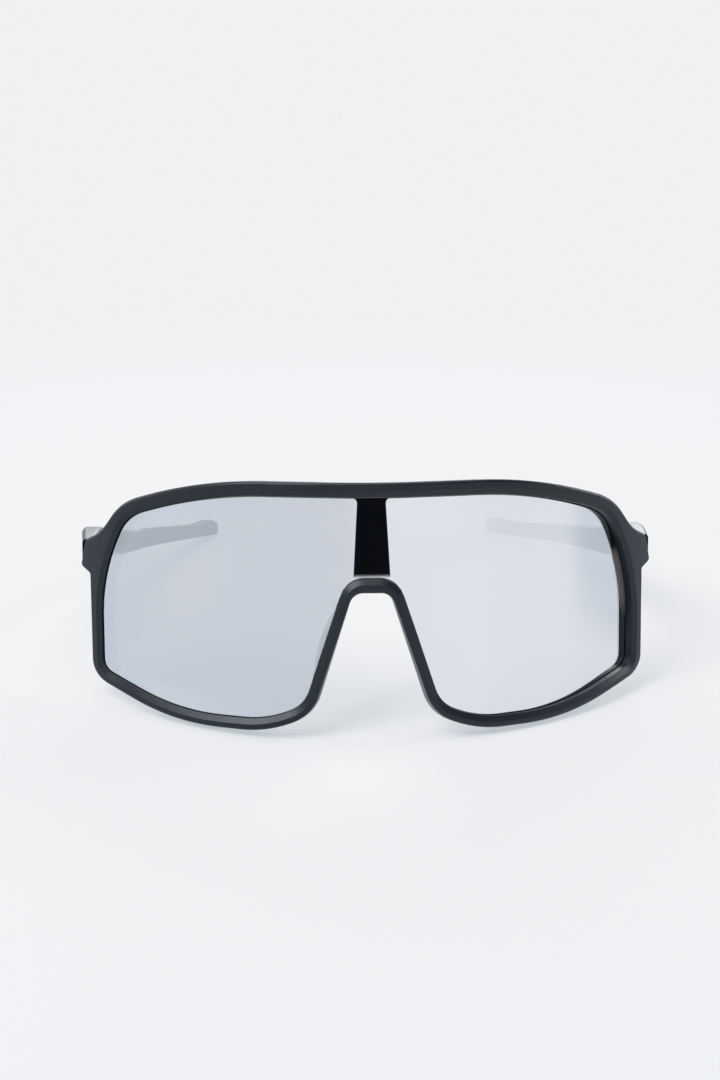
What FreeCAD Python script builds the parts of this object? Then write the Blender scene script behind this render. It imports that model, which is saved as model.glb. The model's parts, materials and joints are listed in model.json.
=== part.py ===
"""Shield sunglasses: a one-piece mirror lens in a full black rim, with two folding temples.

Every piece is modelled as worn (X to the wearer's left, Y to the back, Z up, the front of the rim
at Y = 0) and then leaned back onto the table, where the lower rim and both ear grips touch.
"""
import FreeCAD
import Part
import math
import os
import re

import Sketcher
from FreeCAD import Placement, Rotation, Vector

# Driving dimensions, in millimetres and degrees.
SIZES = (
    ("front_half_width", 73.0, "middle of the front to the lower corner of the lug"),
    ("wrap_turn", 54.206, "turn of the front face from the middle to that corner, in degrees"),
    ("rim_depth", 5.2, "rim, front to back"),
    ("rim_front_round", 0.8, "round on the outer front edge of the rim"),
    ("bevel_width", 1.4, "bevel towards the lens, on the front of the rim"),
    ("bevel_depth", 0.7, "the same bevel, on the wall of the opening"),
    ("rim_back_round", 0.3, "round on the back edges of the rim"),
    ("brow_width", 3.6, "rim above the lens"),
    ("shoulder_width", 2.5, "rim beside the top corner of the lens"),
    ("side_width", 2.5, "rim beside the lens"),
    ("sill_width", 2.8, "rim below the lens"),
    ("nose_width", 2.55, "rim along the nose"),
    ("arch_width", 3.4, "rim over the nose"),
    ("brow_dip_height", 13.7, "middle of the brow above the datum"),
    ("brow_dip_radius", 400.0, "hollow in the middle of the brow"),
    ("brow_knee_inset", 31.3, "where the brow starts to fall, from the lug"),
    ("brow_knee_height", 14.74, "the same corner above the datum"),
    ("brow_knee_radius", 104.0, "arc of the brow"),
    ("shoulder_inset", 11.1, "top corner of the front, from the lug"),
    ("shoulder_height", 9.3, "top corner above the datum"),
    ("shoulder_radius", 12.0, "round of the top corner"),
    ("neck_inset", 5.4, "hollow above the lug, from its end"),
    ("neck_height", 1.55, "hollow above the datum"),
    ("neck_radius", 9.0, "round of the hollow"),
    ("lug_top_inset", 1.25, "upper corner of the lug, from the lower one"),
    ("lug_top_drop", 0.35, "upper corner below the datum"),
    ("lug_bottom_drop", 7.15, "lower corner below the datum"),
    ("lug_corner_radius", 1.5, "round of the lug corners"),
    ("notch_inset", 2.5, "notch under the lug, from its end"),
    ("notch_drop", 9.1, "notch below the datum"),
    ("notch_radius", 0.8, "round of the notch"),
    ("flank_inset", 2.55, "knee of the side, from the lug"),
    ("flank_drop", 8.0, "knee of the side below the datum"),
    ("flank_radius", 50.0, "arc of the side"),
    ("jaw_inset", 3.0, "lower outer corner, from the lug"),
    ("jaw_drop", 34.75, "lower outer corner below the datum"),
    ("jaw_radius", 6.8, "round of the lower outer corner"),
    ("sill_inset", 24.4, "knee of the lower rim, from the lug"),
    ("sill_drop", 44.97, "knee of the lower rim below the datum"),
    ("sill_radius", 58.0, "arc of the lower rim"),
    ("chin_reach", 26.0, "lowest corner, from the middle"),
    ("chin_drop", 46.55, "lowest corner below the datum"),
    ("chin_radius", 29.0, "round of the lowest corner"),
    ("nostril_reach", 14.78, "lower corner beside the nose, from the middle"),
    ("nostril_drop", 42.5, "lower corner beside the nose below the datum"),
    ("nostril_radius", 10.5, "round of that corner"),
    ("arch_reach", 4.69, "corner of the arch over the nose, from the middle"),
    ("arch_drop", 12.9, "top of the arch below the datum"),
    ("arch_radius", 3.5, "round of the arch"),
    ("lens_setback", 1.9, "front of the lens behind the front of the rim"),
    ("lens_shift", 1.1, "drum of the lens to the right, so that it sits deeper on the left"),
    ("lens_thickness", 2.0, "lens"),
    ("lens_bite", 0.9, "lens edge into the groove of the rim"),
    ("groove_gap", 0.1, "play around the lens edge"),
    ("strip_top_width", 7.0, "centre strip under the brow"),
    ("strip_bottom_width", 9.2, "centre strip at its lower end"),
    ("strip_thickness", 1.2, "centre strip"),
    ("strip_top_gap", 0.02, "strip to the brow"),
    ("strip_foot_gap", 0.9, "strip to the arch"),
    ("strip_flare", 1.4, "spread of the strip under the brow, each side"),
    ("strip_flare_radius", 1.35, "hollow of that spread"),
    ("strip_lip", 0.15, "straight edge of the strip under the brow"),
    ("strip_corner_radius", 0.5, "round of its lower corners"),
    ("strip_roll_radius", 1.0, "rolled lower end of the strip"),
    ("pad_height", 24.0, "nose pad, along the rim"),
    ("pad_front_width", 2.6, "nose pad where it leaves the rim, at its middle"),
    ("pad_back_width", 2.7, "nose pad at its free edge, at its middle"),
    ("pad_bulge_radius", 26.0, "arcs of its outer side"),
    ("pad_splay", 0.9, "free edge further from the nose"),
    ("pad_depth", 6.5, "nose pad behind the rim"),
    ("pad_edge_round", 0.4, "round of its free edge"),
    ("pad_end_round", 0.7, "round of its two ends"),
    ("pad_level", 25.6, "middle of the pad below the datum"),
    ("peg_radius", 0.55, "pegs of the nose pad"),
    ("peg_length", 0.75, "pegs into the rim"),
    ("peg_spacing", 9.0, "between the two pegs"),
    ("peg_gap", 0.05, "play around a peg"),
    ("knuckle_radius", 1.5, "hinge barrel"),
    ("knuckle_height", 1.9, "each outer knuckle"),
    ("middle_knuckle_height", 2.0, "knuckle of the temple leaf"),
    ("knuckle_gap", 0.1, "between knuckles"),
    ("knuckle_room", 0.3, "between the barrel and what turns past it"),
    ("axis_overhang", 0.1, "hinge axis short of the end of the lug"),
    ("axis_rise", 2.0, "hinge axis behind the back of the lug"),
    ("screw_radius", 0.7, "hinge screw"),
    ("thread_gap", 0.02, "hinge screw in the front leaf"),
    ("running_gap", 0.04, "hinge screw in the temple leaf"),
    ("screw_head_radius", 1.25, "head of the hinge screw"),
    ("screw_head_height", 0.6, "head of the hinge screw"),
    ("slot_width", 0.35, "driver slots"),
    ("slot_depth", 0.25, "driver slots"),
    ("leaf_thickness", 1.0, "both leaves"),
    ("leaf_recess", 0.45, "how deep each leaf is let in"),
    ("leaf_height", 5.0, "both leaves"),
    ("front_leaf_length", 7.4, "front leaf along the lug"),
    ("temple_leaf_length", 10.0, "temple leaf behind the barrel"),
    ("leaf_gap", 0.08, "play around a leaf"),
    ("rivet_radius", 0.5, "leaf screws"),
    ("rivet_length", 2.6, "leaf screws below the head"),
    ("rivet_head_radius", 0.95, "head of a leaf screw"),
    ("rivet_head_height", 0.4, "head of a leaf screw"),
    ("rivet_gap", 0.03, "play around a leaf screw"),
    ("front_rivet_setback", 1.5, "screws of the front leaf, from its middle"),
    ("front_rivet_spacing", 2.9, "between the screws of the front leaf"),
    ("temple_rivet_spacing", 4.4, "between the screws of the temple leaf"),
    ("joint_gap", 0.3, "temple to the end of the lug"),
    ("temple_thickness", 4.4, "temple at the hinge"),
    ("tip_thickness", 3.4, "ear grip at its end"),
    ("temple_hook", 52.0, "middle of the temple's bend, ahead of the end of the grip"),
    ("temple_bend_radius", 130.0, "bend of the temple's outer side, seen from above"),
    ("temple_length", 118.0, "hinge axis to the end of the ear grip"),
    ("temple_sweep", 30.5, "end of the grip, inwards of the temple's front"),
    ("arm_overrun", 13.2, "blank of the temple ahead of the hinge, mitred off at the lug"),
    ("front_inset", 1.8, "outer side of the blank, inwards at its front"),
    ("front_top", 2.35, "top of the blank above the hinge, at its front"),
    ("front_bottom", 3.1, "bottom of the blank below the hinge, at its front"),
    ("swell_reach", 18.0, "fullest part of the temple, behind the hinge"),
    ("swell_out", 0.7, "outer side there, outwards"),
    ("swell_top", 6.4, "top above the hinge there"),
    ("swell_radius", 150.0, "arc of the top and of the outer side there"),
    ("waist_reach", 58.0, "where the top turns level, behind the hinge"),
    ("waist_top", 3.2, "top above the hinge there"),
    ("waist_radius", 144.0, "arc of the top there"),
    ("belly_reach", 52.0, "where the bottom starts to rise"),
    ("belly_bottom", 4.1, "bottom below the hinge there"),
    ("belly_radius", 160.0, "arc of the bottom there"),
    ("bump_run", 12.0, "where the top of the grip starts to rise, ahead of its end"),
    ("bump_foot", 3.65, "top above the hinge there"),
    ("bump_hollow_radius", 14.4, "hollow of the top there"),
    ("bump_top", 5.0, "top of the grip above the hinge"),
    ("bump_setback", 4.8, "top of the grip short of its end"),
    ("bump_radius", 4.8, "round of the top of the grip"),
    ("heel_rise", 0.3, "bottom of the grip above the hinge, at its end"),
    ("temple_edge_round", 1.0, "round of the temple's long edges"),
    ("tip_radius", 1.6, "round of the end of the grip, seen from the side"),
    ("tip_round", 1.56, "the same seen from above"),
    ("grip_length", 42.0, "grip, along the temple"),
    ("grip_wall", 1.0, "rubber around the tongue of the temple"),
    ("grip_gap", 0.06, "play around the tongue"),
    ("tongue_end", 7.0, "tongue short of the end of the grip"),
)

doc = FreeCAD.newDocument("shield_sunglasses")
sheet = doc.addObject("Spreadsheet::Sheet", "Sizes")
for row, (alias, number, note) in enumerate(SIZES, start=1):
    sheet.set(f"A{row}", note)
    sheet.set(f"B{row}", str(number))
    sheet.setAlias(f"B{row}", alias)
doc.recompute()

NAMES = re.compile(r"\b(?:" + "|".join(alias for alias, _, _ in SIZES) + r")\b")
FRONT_PLANE = Placement(Vector(), Rotation(Vector(1, 0, 0), 90))
SIDE_PLANE = Placement(Vector(), Rotation(Vector(1, 1, 1), 120))
PLAN_PLANE = Placement()
NEAR = 1e-3
EDGE_SHARE = 0.98
EDGE_SPOTS = (0.0, 0.3, 0.7, 1.0)
LEAN_STEPS = 8
HALF = "front_half_width"
LUG_TOP = "(front_half_width - lug_top_inset)"
WRAP = "(front_half_width / sin(wrap_turn * 1 deg))"


def in_sheet(formula):
    """The formula with every size named as a cell of the sheet."""
    return NAMES.sub(r"Sizes.\g<0>", formula)


def value(formula):
    """The number that a formula of sizes stands for."""
    return float(sheet.evalExpression(in_sheet(formula)))


def bind(thing, **formulas):
    """Tie properties of a document object to formulas of sizes."""
    for prop, formula in formulas.items():
        thing.setExpression(prop, in_sheet(formula))
    return thing


def rounded_loop(name, plane, corners, widths=None):
    """A closed sketch: a polygon of named corners, each with its round or "0" for a sharp one.

    Corners run clockwise as (across, up, radius) formulas. With widths, one for each edge, the
    loop is drawn that far inside the polygon, which stays as construction lines. Two rounds that
    would overrun the edge between them are both drawn smaller.
    """
    sketch = doc.addObject("Sketcher::SketchObject", name)
    sketch.Placement = plane
    count = len(corners)
    points = [Vector(value(across), value(up), 0) for across, up, _ in corners]
    radii = [value(radius) for _, _, radius in corners]
    limits = [1.0] * count
    steps = [(points[(i + 1) % count] - points[i]).normalize() for i in range(count)]
    walls = [value(width) for width in widths] if widths else [0.0] * count
    inner = []
    for i in range(count):
        before, after = steps[i - 1], steps[i]
        start = points[i] + Vector(before.y, -before.x, 0) * walls[i - 1]
        target = points[i] + Vector(after.y, -after.x, 0) * walls[i]
        run = (target - start).cross(after).z / before.cross(after).z
        inner.append(start + before * run)
    edges = [Part.LineSegment(points[i], points[(i + 1) % count]) for i in range(count)]
    sketch.addGeometry(edges, True)
    turns = [steps[i - 1].cross(steps[i]).z for i in range(count)]
    bends = [math.tan(steps[i - 1].getAngle(steps[i]) / 2) for i in range(count)]
    for i in range(count):
        k = (i + 1) % count
        taken = radii[i] * bends[i] + radii[k] * bends[k]
        room = (inner[k] - inner[i]).dot(steps[i]) * EDGE_SHARE
        if taken > room:
            limits[i] = min(limits[i], room / taken)
            limits[k] = min(limits[k], room / taken)
    radii = [radius * limit for radius, limit in zip(radii, limits)]
    trims = [radius * bend for radius, bend in zip(radii, bends)]
    lines = []
    arcs = []
    arc_ids = {}
    for i in range(count):
        k = (i + 1) % count
        lines.append(Part.LineSegment(inner[i] + steps[i] * trims[i], inner[k] - steps[i] * trims[k]))
        if corners[i][2] == "0":
            continue
        side = math.copysign(1.0, turns[i])
        normal = Vector(-steps[i - 1].y, steps[i - 1].x, 0) * side
        centre = inner[i] - steps[i - 1] * trims[i] + normal * radii[i]
        ends = [inner[i] - steps[i - 1] * trims[i], inner[i] + steps[i] * trims[i]]
        if side < 0:
            ends.reverse()
        angles = [math.atan2(end.y - centre.y, end.x - centre.x) for end in ends]
        circle = Part.Circle(centre, Vector(0, 0, 1), radii[i])
        arc_ids[i] = 2 * count + len(arcs)
        arcs.append(Part.ArcOfCircle(circle, angles[0], angles[1]))
    sketch.addGeometry(lines + arcs, False)
    rules = []
    formulas = {}
    for i in range(count):
        line, previous = count + i, count + (i - 1) % count
        rules.append(Sketcher.Constraint("Coincident", i, 2, (i + 1) % count, 1))
        for kind, axis, formula, place in (
            ("DistanceX", -2, corners[i][0], points[i].x),
            ("DistanceY", -1, corners[i][1], points[i].y),
        ):
            if formula == "0":
                rules.append(Sketcher.Constraint("PointOnObject", i, 1, axis))
            else:
                formulas[len(rules)] = formula
                rules.append(Sketcher.Constraint(kind, -1, 1, i, 1, place))
        rules.append(Sketcher.Constraint("Parallel", i, line))
        if widths:
            formulas[len(rules)] = widths[i]
            rules.append(Sketcher.Constraint("Distance", line, 1, i, walls[i]))
        else:
            rules.append(Sketcher.Constraint("PointOnObject", line, 1, i))
        if i in arc_ids:
            first, last = (1, 2) if turns[i] > 0 else (2, 1)
            formulas[len(rules)] = f"{limits[i]} * ({corners[i][2]})"
            rules.append(Sketcher.Constraint("Radius", arc_ids[i], radii[i]))
            rules.append(Sketcher.Constraint("Tangent", previous, 2, arc_ids[i], first))
            rules.append(Sketcher.Constraint("Tangent", arc_ids[i], last, line, 1))
        else:
            rules.append(Sketcher.Constraint("Coincident", previous, 2, line, 1))
    sketch.addConstraint(rules)
    for index, formula in formulas.items():
        sketch.setExpression(f"Constraints[{index}]", in_sheet(formula))
    return sketch


def mirrored(half):
    """Corners of the right half, then the same ones on the other side, in reverse."""
    return half + [(f"-({across})", up, radius) for across, up, radius in reversed(half)]


def made(kind, name, **links):
    """A document object of that kind, with plain properties set."""
    thing = doc.addObject(kind, name)
    for prop, link in links.items():
        setattr(thing, prop, link)
    return thing


def prism(name, outline, direction, ahead, behind="0"):
    """The outline run out to a solid along a direction."""
    thing = made("Part::Extrusion", name, Base=outline, DirMode="Custom", Dir=direction, Solid=True)
    return bind(thing, LengthFwd=ahead, LengthRev=behind)


def joined(name, *parts):
    """Several solids as one."""
    return made("Part::MultiFuse", name, Shapes=list(parts), Refine=True)


def shared(name, base, tool):
    """What two shapes have in common."""
    return made("Part::Common", name, Base=base, Tool=tool)


def less(name, base, tool):
    """One shape cut away from another."""
    return made("Part::Cut", name, Base=base, Tool=tool)


def drum(name, setback, shift="0"):
    """A solid drum whose face lies that far behind the front of the rim, moved to the right."""
    thing = made("Part::Cylinder", name)
    thing.setExpression("Placement.Base.x", in_sheet(f"-({shift})"))
    thing.setExpression("Placement.Base.y", in_sheet(WRAP))
    thing.setExpression("Placement.Base.z", in_sheet("-2 * chin_drop"))
    return bind(thing, Radius=f"{WRAP} - ({setback})", Height="4 * chin_drop")


def lens_tube(name, setback, thickness):
    """The space between two depths behind the front of the rim, as the lens sits in it."""
    face = drum(name + "_face", setback, "lens_shift")
    return less(name, face, drum(name + "_core", f"{setback} + {thickness}", "lens_shift"))


def plug(name, column, depth):
    """What a column cuts out of the wrap, with walls square to it, from the front of the rim."""
    skin = shared(name + "_skin", WRAP_SHEET, column)
    thing = made("Part::Offset", name, Source=skin, Fill=True)
    return bind(thing, Value=depth)


# The front of the rim as a bare sheet, half way around the drum.
arc_sketch = doc.addObject("Sketcher::SketchObject", "wrap_arc")
half_circle = Part.Circle(Vector(0, value(WRAP), 0), Vector(0, 0, 1), value(WRAP))
arc_sketch.addGeometry(Part.ArcOfCircle(half_circle, math.pi, 2 * math.pi), False)
arc_sketch.addConstraint([
    Sketcher.Constraint("Radius", 0, value(WRAP)),
    Sketcher.Constraint("PointOnObject", 0, 3, -2),
    Sketcher.Constraint("DistanceY", -1, 1, 0, 3, value(WRAP)),
    Sketcher.Constraint("Horizontal", 0, 1, 0, 3),
    Sketcher.Constraint("Horizontal", 0, 2, 0, 3),
])
arc_sketch.setExpression("Constraints[0]", in_sheet(WRAP))
arc_sketch.setExpression("Constraints[2]", in_sheet(WRAP))
WRAP_SHEET = made("Part::Extrusion", "wrap_sheet", Base=arc_sketch, DirMode="Custom", Dir=Vector(0, 0, 1))
bind(WRAP_SHEET, LengthFwd="2 * chin_drop", LengthRev="2 * chin_drop")

# Outlines seen from the front: the rim with its lugs, the opening, and the edge of the lens.
BROW = ("0", "brow_dip_height", "brow_dip_radius")
RIGHT_TOP = [
    (f"{HALF} - brow_knee_inset", "brow_knee_height", "brow_knee_radius"),
    (f"{HALF} - shoulder_inset", "shoulder_height", "shoulder_radius"),
]
LUG = [
    (f"{HALF} - neck_inset", "neck_height", "neck_radius"),
    (LUG_TOP, "-lug_top_drop", "lug_corner_radius"),
    (HALF, "-lug_bottom_drop", "lug_corner_radius"),
    (f"{HALF} - notch_inset", "-notch_drop", "notch_radius"),
]
RIGHT_BOTTOM = [
    (f"{HALF} - jaw_inset", "-jaw_drop", "jaw_radius"),
    (f"{HALF} - sill_inset", "-sill_drop", "sill_radius"),
    ("chin_reach", "-chin_drop", "chin_radius"),
    ("nostril_reach", "-nostril_drop", "nostril_radius"),
    ("arch_reach", "-arch_drop", "arch_radius"),
]
OPENING = [
    (f"{HALF} - brow_knee_inset", "brow_knee_height", "brow_knee_radius - brow_width"),
    (f"{HALF} - shoulder_inset", "shoulder_height", "shoulder_radius - shoulder_width"),
    (f"{HALF} - flank_inset", "-flank_drop", "flank_radius - side_width"),
    (f"{HALF} - jaw_inset", "-jaw_drop", "jaw_radius - sill_width"),
    (f"{HALF} - sill_inset", "-sill_drop", "sill_radius - sill_width"),
    ("chin_reach", "-chin_drop", "chin_radius - sill_width"),
    ("nostril_reach", "-nostril_drop", "nostril_radius - nose_width"),
    ("arch_reach", "-arch_drop", "arch_radius + nose_width"),
]
SIDE_WALLS = ["brow_width", "shoulder_width", "side_width", "sill_width", "sill_width", "sill_width",
              "nose_width"]
WALLS = ["brow_width"] + SIDE_WALLS + ["arch_width"] + SIDE_WALLS[::-1] + ["brow_width"]

rim_outline = rounded_loop("rim_outline", FRONT_PLANE, [BROW] + mirrored(RIGHT_TOP + LUG + RIGHT_BOTTOM))
opening_brow = ("0", "brow_dip_height", "brow_dip_radius + brow_width")
opening_outline = rounded_loop("opening_outline", FRONT_PLANE, [opening_brow] + mirrored(OPENING), WALLS)
BACK = Vector(0, 1, 0)
rim_column = prism("rim_column", rim_outline, BACK, WRAP, "rim_depth")
opening_column = prism("opening_column", opening_outline, BACK, f"2 * {WRAP}", "2 * rim_depth")
rim_ring = plug("rim_ring", less("rim_wall_column", rim_column, opening_column), "rim_depth")


def lens_column(name, bite):
    """A column whose outline is the opening, widened all around."""
    edge = made("Part::Offset2D", name + "_edge", Source=opening_outline)
    return prism(name, bind(edge, Value=bite), BACK, WRAP, "rim_depth")


lens_plug = plug("lens_plug", lens_column("lens_column", "lens_bite"), "rim_depth")
shield_lens = shared("shield_lens", lens_plug, lens_tube("lens_bed", "lens_setback", "lens_thickness"))
groove_plug = plug("groove_plug", lens_column("groove_column", "lens_bite + groove_gap"), "rim_depth")
groove_tube = lens_tube("groove_tube", "lens_setback - groove_gap", "lens_thickness + 2 * groove_gap")
grooved_rim = less("grooved_rim", rim_ring, shared("lens_groove", groove_plug, groove_tube))

# Centre strip, bonded to the front of the lens between the brow and the arch.
STRIP_TOP = "(brow_dip_height - brow_width - strip_top_gap)"
STRIP_FOOT = "(strip_foot_gap + arch_width - arch_drop)"
STRIP = [
    ("strip_top_width / 2 + strip_flare", STRIP_TOP, "0"),
    ("strip_top_width / 2 + strip_flare", f"{STRIP_TOP} - strip_lip", "0"),
    ("strip_top_width / 2", f"{STRIP_TOP} - strip_lip", "strip_flare_radius"),
    ("strip_bottom_width / 2", STRIP_FOOT, "strip_corner_radius"),
]
strip_outline = rounded_loop("strip_outline", FRONT_PLANE, mirrored(STRIP))
strip_plug = plug("strip_plug", prism("strip_column", strip_outline, BACK, WRAP, "rim_depth"),
                  "rim_depth")
strip_tube = lens_tube("strip_tube", "lens_setback - strip_thickness", "strip_thickness")
strip_side = rounded_loop("strip_side", SIDE_PLANE, [
    ("lens_setback - strip_thickness", "brow_dip_height", "0"),
    ("rim_depth", "brow_dip_height", "0"),
    ("rim_depth", STRIP_FOOT, "0"),
    ("lens_setback - strip_thickness", STRIP_FOOT, "strip_roll_radius"),
])
ACROSS = Vector(1, 0, 0)
strip_roll = prism("strip_roll", strip_side, ACROSS, "strip_bottom_width", "strip_bottom_width")
bridge_strip = shared("bridge_strip", shared("strip_bar", strip_plug, strip_tube), strip_roll)


def edge_names(shape, test):
    """Names of the edges that pass a test of points along them."""
    names = []
    for index, edge in enumerate(shape.Edges, start=1):
        first, last = edge.ParameterRange
        spots = [edge.valueAt(first + (last - first) * share) for share in EDGE_SPOTS]
        if test(spots):
            names.append(f"Edge{index}")
    return names


def dressed_body(name, blank, dressings):
    """A body that starts from a blank and dresses edges: (kind of feature, its sizes, edge test)."""
    body = made("PartDesign::Body", name, BaseFeature=blank)
    doc.recompute()
    for order, (kind, sizes, test) in enumerate(dressings, start=1):
        base = body.Tip
        dressing = body.newObject(f"PartDesign::{kind}", f"{name}_dressing_{order}")
        dressing.Base = (base, edge_names(base.Shape, test))
        if kind == "Chamfer":
            dressing.ChamferType = "Two distances"
        bind(dressing, **sizes)
        doc.recompute()
    return body


FACE_RADIUS = value(WRAP)
SEAT_RADIUS = value(f"{WRAP} - rim_depth")


def on_drum(radius, spots):
    """Whether points lie on a drum of that radius around the axis of the wrap."""
    return all(abs(math.hypot(spot.x, spot.y - FACE_RADIUS) - radius) < NEAR for spot in spots)


def along_outline(outline):
    """A test for edges on the front of the rim that lie on an outline of the front view."""
    def test(spots):
        return on_drum(FACE_RADIUS, spots) and all(
            outline.Shape.distToShape(Part.Vertex(spot.x, 0, spot.z))[0] < NEAR for spot in spots)

    return test


# The bevel leaves some of the front beside the outer round, where the rim is narrowest.
NARROWEST = "min(shoulder_width; side_width; sill_width; nose_width)"
BEVEL_WIDTH = f"min(bevel_width; {EDGE_SHARE} * ({NARROWEST} - rim_front_round))"
rim_body = dressed_body("rim_body", grooved_rim, (
    ("Fillet", {"Radius": "rim_front_round"}, along_outline(rim_outline)),
    ("Chamfer", {"Size": BEVEL_WIDTH, "Size2": "bevel_depth"}, along_outline(opening_outline)),
    ("Fillet", {"Radius": "rim_back_round"}, lambda spots: on_drum(SEAT_RADIUS, spots)),
))

# Where the hinge sits: the seat on the back of the left lug, and the axis behind it.
lug_turn = math.asin(value(f"{HALF} / {WRAP}"))
seat_turn = lug_turn - value("front_leaf_length / 2") / SEAT_RADIUS
hinge_level = -value("(lug_top_drop + lug_bottom_drop) / 2")
seat_origin = Vector(
    SEAT_RADIUS * math.sin(seat_turn),
    FACE_RADIUS - SEAT_RADIUS * math.cos(seat_turn),
    hinge_level,
)
seat = Placement(seat_origin, Rotation(Vector(0, 0, 1), math.degrees(seat_turn)))
AXIS_ALONG = "(front_leaf_length / 2 - axis_overhang)"
hinge = Placement(seat.multVec(Vector(value(AXIS_ALONG), value("axis_rise"), 0)), Rotation())
HINGE_HEIGHT = "(2 * knuckle_height + middle_knuckle_height + 2 * knuckle_gap)"


def block(name, low, sides):
    """A box from its low corner, both given as formulas of sizes."""
    thing = made("Part::Box", name)
    for axis, formula in zip("xyz", low):
        thing.setExpression(f"Placement.Base.{axis}", in_sheet(formula))
    return bind(thing, Length=sides[0], Width=sides[1], Height=sides[2])


def rod(name, foot, radius, length, direction=Vector(0, 0, 1)):
    """A round bar from the middle of its foot, along a direction."""
    thing = made("Part::Cylinder", name)
    thing.Placement.Rotation = Rotation(Vector(0, 0, 1), direction)
    for axis, formula in zip("xyz", foot):
        thing.setExpression(f"Placement.Base.{axis}", in_sheet(formula))
    return bind(thing, Radius=radius, Height=length)


def barrel(name, radius, height):
    """A bar centred on the hinge, in the frame of the seat."""
    return rod(name, (AXIS_ALONG, "axis_rise", f"-{height} / 2"), radius, height)


def slotted_screw(name, foot, radius, length, head_radius, head_height, direction):
    """A screw standing on its foot, with a slotted head at the far end."""
    shank = rod(name + "_shank", foot, radius, f"{length} + {head_height}", direction)
    along = [f"({spot}) + {step} * ({length})" for spot, step in zip(foot, direction)]
    head = rod(name + "_head", along, head_radius, head_height, direction)
    rise = f"({length} + {head_height} - slot_depth)"
    top = [f"({spot}) + {step} * {rise}" for spot, step in zip(foot, direction)]
    if abs(direction.z) > 0.5:
        low = (f"{top[0]} - 2 * {head_radius}", f"{top[1]} - slot_width / 2", top[2])
        sides = (f"4 * {head_radius}", "slot_width", "2 * slot_depth")
    elif direction.y > 0.5:
        low = (f"{top[0]} - slot_width / 2", top[1], f"{top[2]} - 2 * {head_radius}")
        sides = ("slot_width", "2 * slot_depth", f"4 * {head_radius}")
    else:
        low = (f"{top[0]} - 2 * slot_depth", f"{top[1]} - slot_width / 2", f"{top[2]} - 2 * {head_radius}")
        sides = ("2 * slot_depth", "slot_width", f"4 * {head_radius}")
    return less(name, joined(name + "_bar", shank, head), block(name + "_slot", low, sides))


# Front hinge leaf, in the frame of the seat: X along the lug, Y away from its back.
front_leaf_bar = joined(
    "front_leaf_bar",
    block("front_plate", ("-front_leaf_length / 2", "-leaf_recess", "-leaf_height / 2"),
          ("front_leaf_length - axis_overhang", "leaf_thickness", "leaf_height")),
    block("front_web", (f"{AXIS_ALONG} - knuckle_radius", "-leaf_recess", "-leaf_height / 2"),
          ("knuckle_radius", "leaf_recess + axis_rise", "leaf_height")),
    barrel("front_barrel", "knuckle_radius", HINGE_HEIGHT),
)
FRONT_RIVET = "-front_rivet_setback"
SPLIT = "(middle_knuckle_height + 2 * knuckle_gap)"
front_leaf_cuts = joined(
    "front_leaf_cuts",
    barrel("front_bore", "screw_radius + thread_gap", f"2 * {HINGE_HEIGHT}"),
    block("front_split",
          (f"{AXIS_ALONG} - knuckle_radius - knuckle_room", "-2 * leaf_recess", f"-{SPLIT} / 2"),
          ("4 * knuckle_radius", "2 * (leaf_recess + axis_rise + knuckle_radius)", SPLIT)),
    rod("front_hole_1", (FRONT_RIVET, "-2 * leaf_recess", "front_rivet_spacing / 2"),
        "rivet_radius + rivet_gap", "4 * leaf_thickness", BACK),
    rod("front_hole_2", (FRONT_RIVET, "-2 * leaf_recess", "-front_rivet_spacing / 2"),
        "rivet_radius + rivet_gap", "4 * leaf_thickness", BACK),
)
front_leaf = less("front_hinge_leaf_left", front_leaf_bar, front_leaf_cuts)

FRONT_FOOT = "leaf_thickness - leaf_recess - rivet_length"
front_rivets = made("Part::Compound", "front_leaf_screws_left", Links=[
    slotted_screw(f"front_rivet_{order}", (FRONT_RIVET, FRONT_FOOT, f"{side} * front_rivet_spacing / 2"),
                  "rivet_radius", "rivet_length", "rivet_head_radius", "rivet_head_height", BACK)
    for order, side in ((1, 1), (2, -1))
])
hinge_screw = slotted_screw(
    "hinge_screw_left", (AXIS_ALONG, "axis_rise", f"-{HINGE_HEIGHT} / 2"), "screw_radius", HINGE_HEIGHT,
    "screw_head_radius", "screw_head_height", Vector(0, 0, 1))

# What the hinge takes out of the lug.
seat_cuts = joined(
    "seat_cuts",
    block("seat_pocket",
          ("-front_leaf_length / 2 - leaf_gap", "-leaf_recess", "-leaf_height / 2 - leaf_gap"),
          ("2 * front_leaf_length", "2 * axis_rise", "leaf_height + 2 * leaf_gap")),
    rod("seat_hole_1", (FRONT_RIVET, f"{FRONT_FOOT} - leaf_gap", "front_rivet_spacing / 2"),
        "rivet_radius + rivet_gap", "rivet_length", BACK),
    rod("seat_hole_2", (FRONT_RIVET, f"{FRONT_FOOT} - leaf_gap", "-front_rivet_spacing / 2"),
        "rivet_radius + rivet_gap", "rivet_length", BACK),
)
seat_cuts.Placement = seat

# Nose pads: a splayed blade along the side of the arch, with two pegs into the rim.
nose_top = Vector(value("arch_reach"), 0, -value("arch_drop"))
nose_foot = Vector(value("nostril_reach"), 0, -value("nostril_drop"))
nose_run = (nose_top - nose_foot).normalize()
nose_out = Vector(nose_run.z, 0, -nose_run.x)
level_share = value("(pad_level - arch_drop) / (nostril_drop - arch_drop)")
pad_middle = nose_top + (nose_foot - nose_top) * level_share + nose_out * value("nose_width / 2")
nose_lean = Rotation(nose_out, Vector(0, -1, 0), nose_run, "ZXY")


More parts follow.
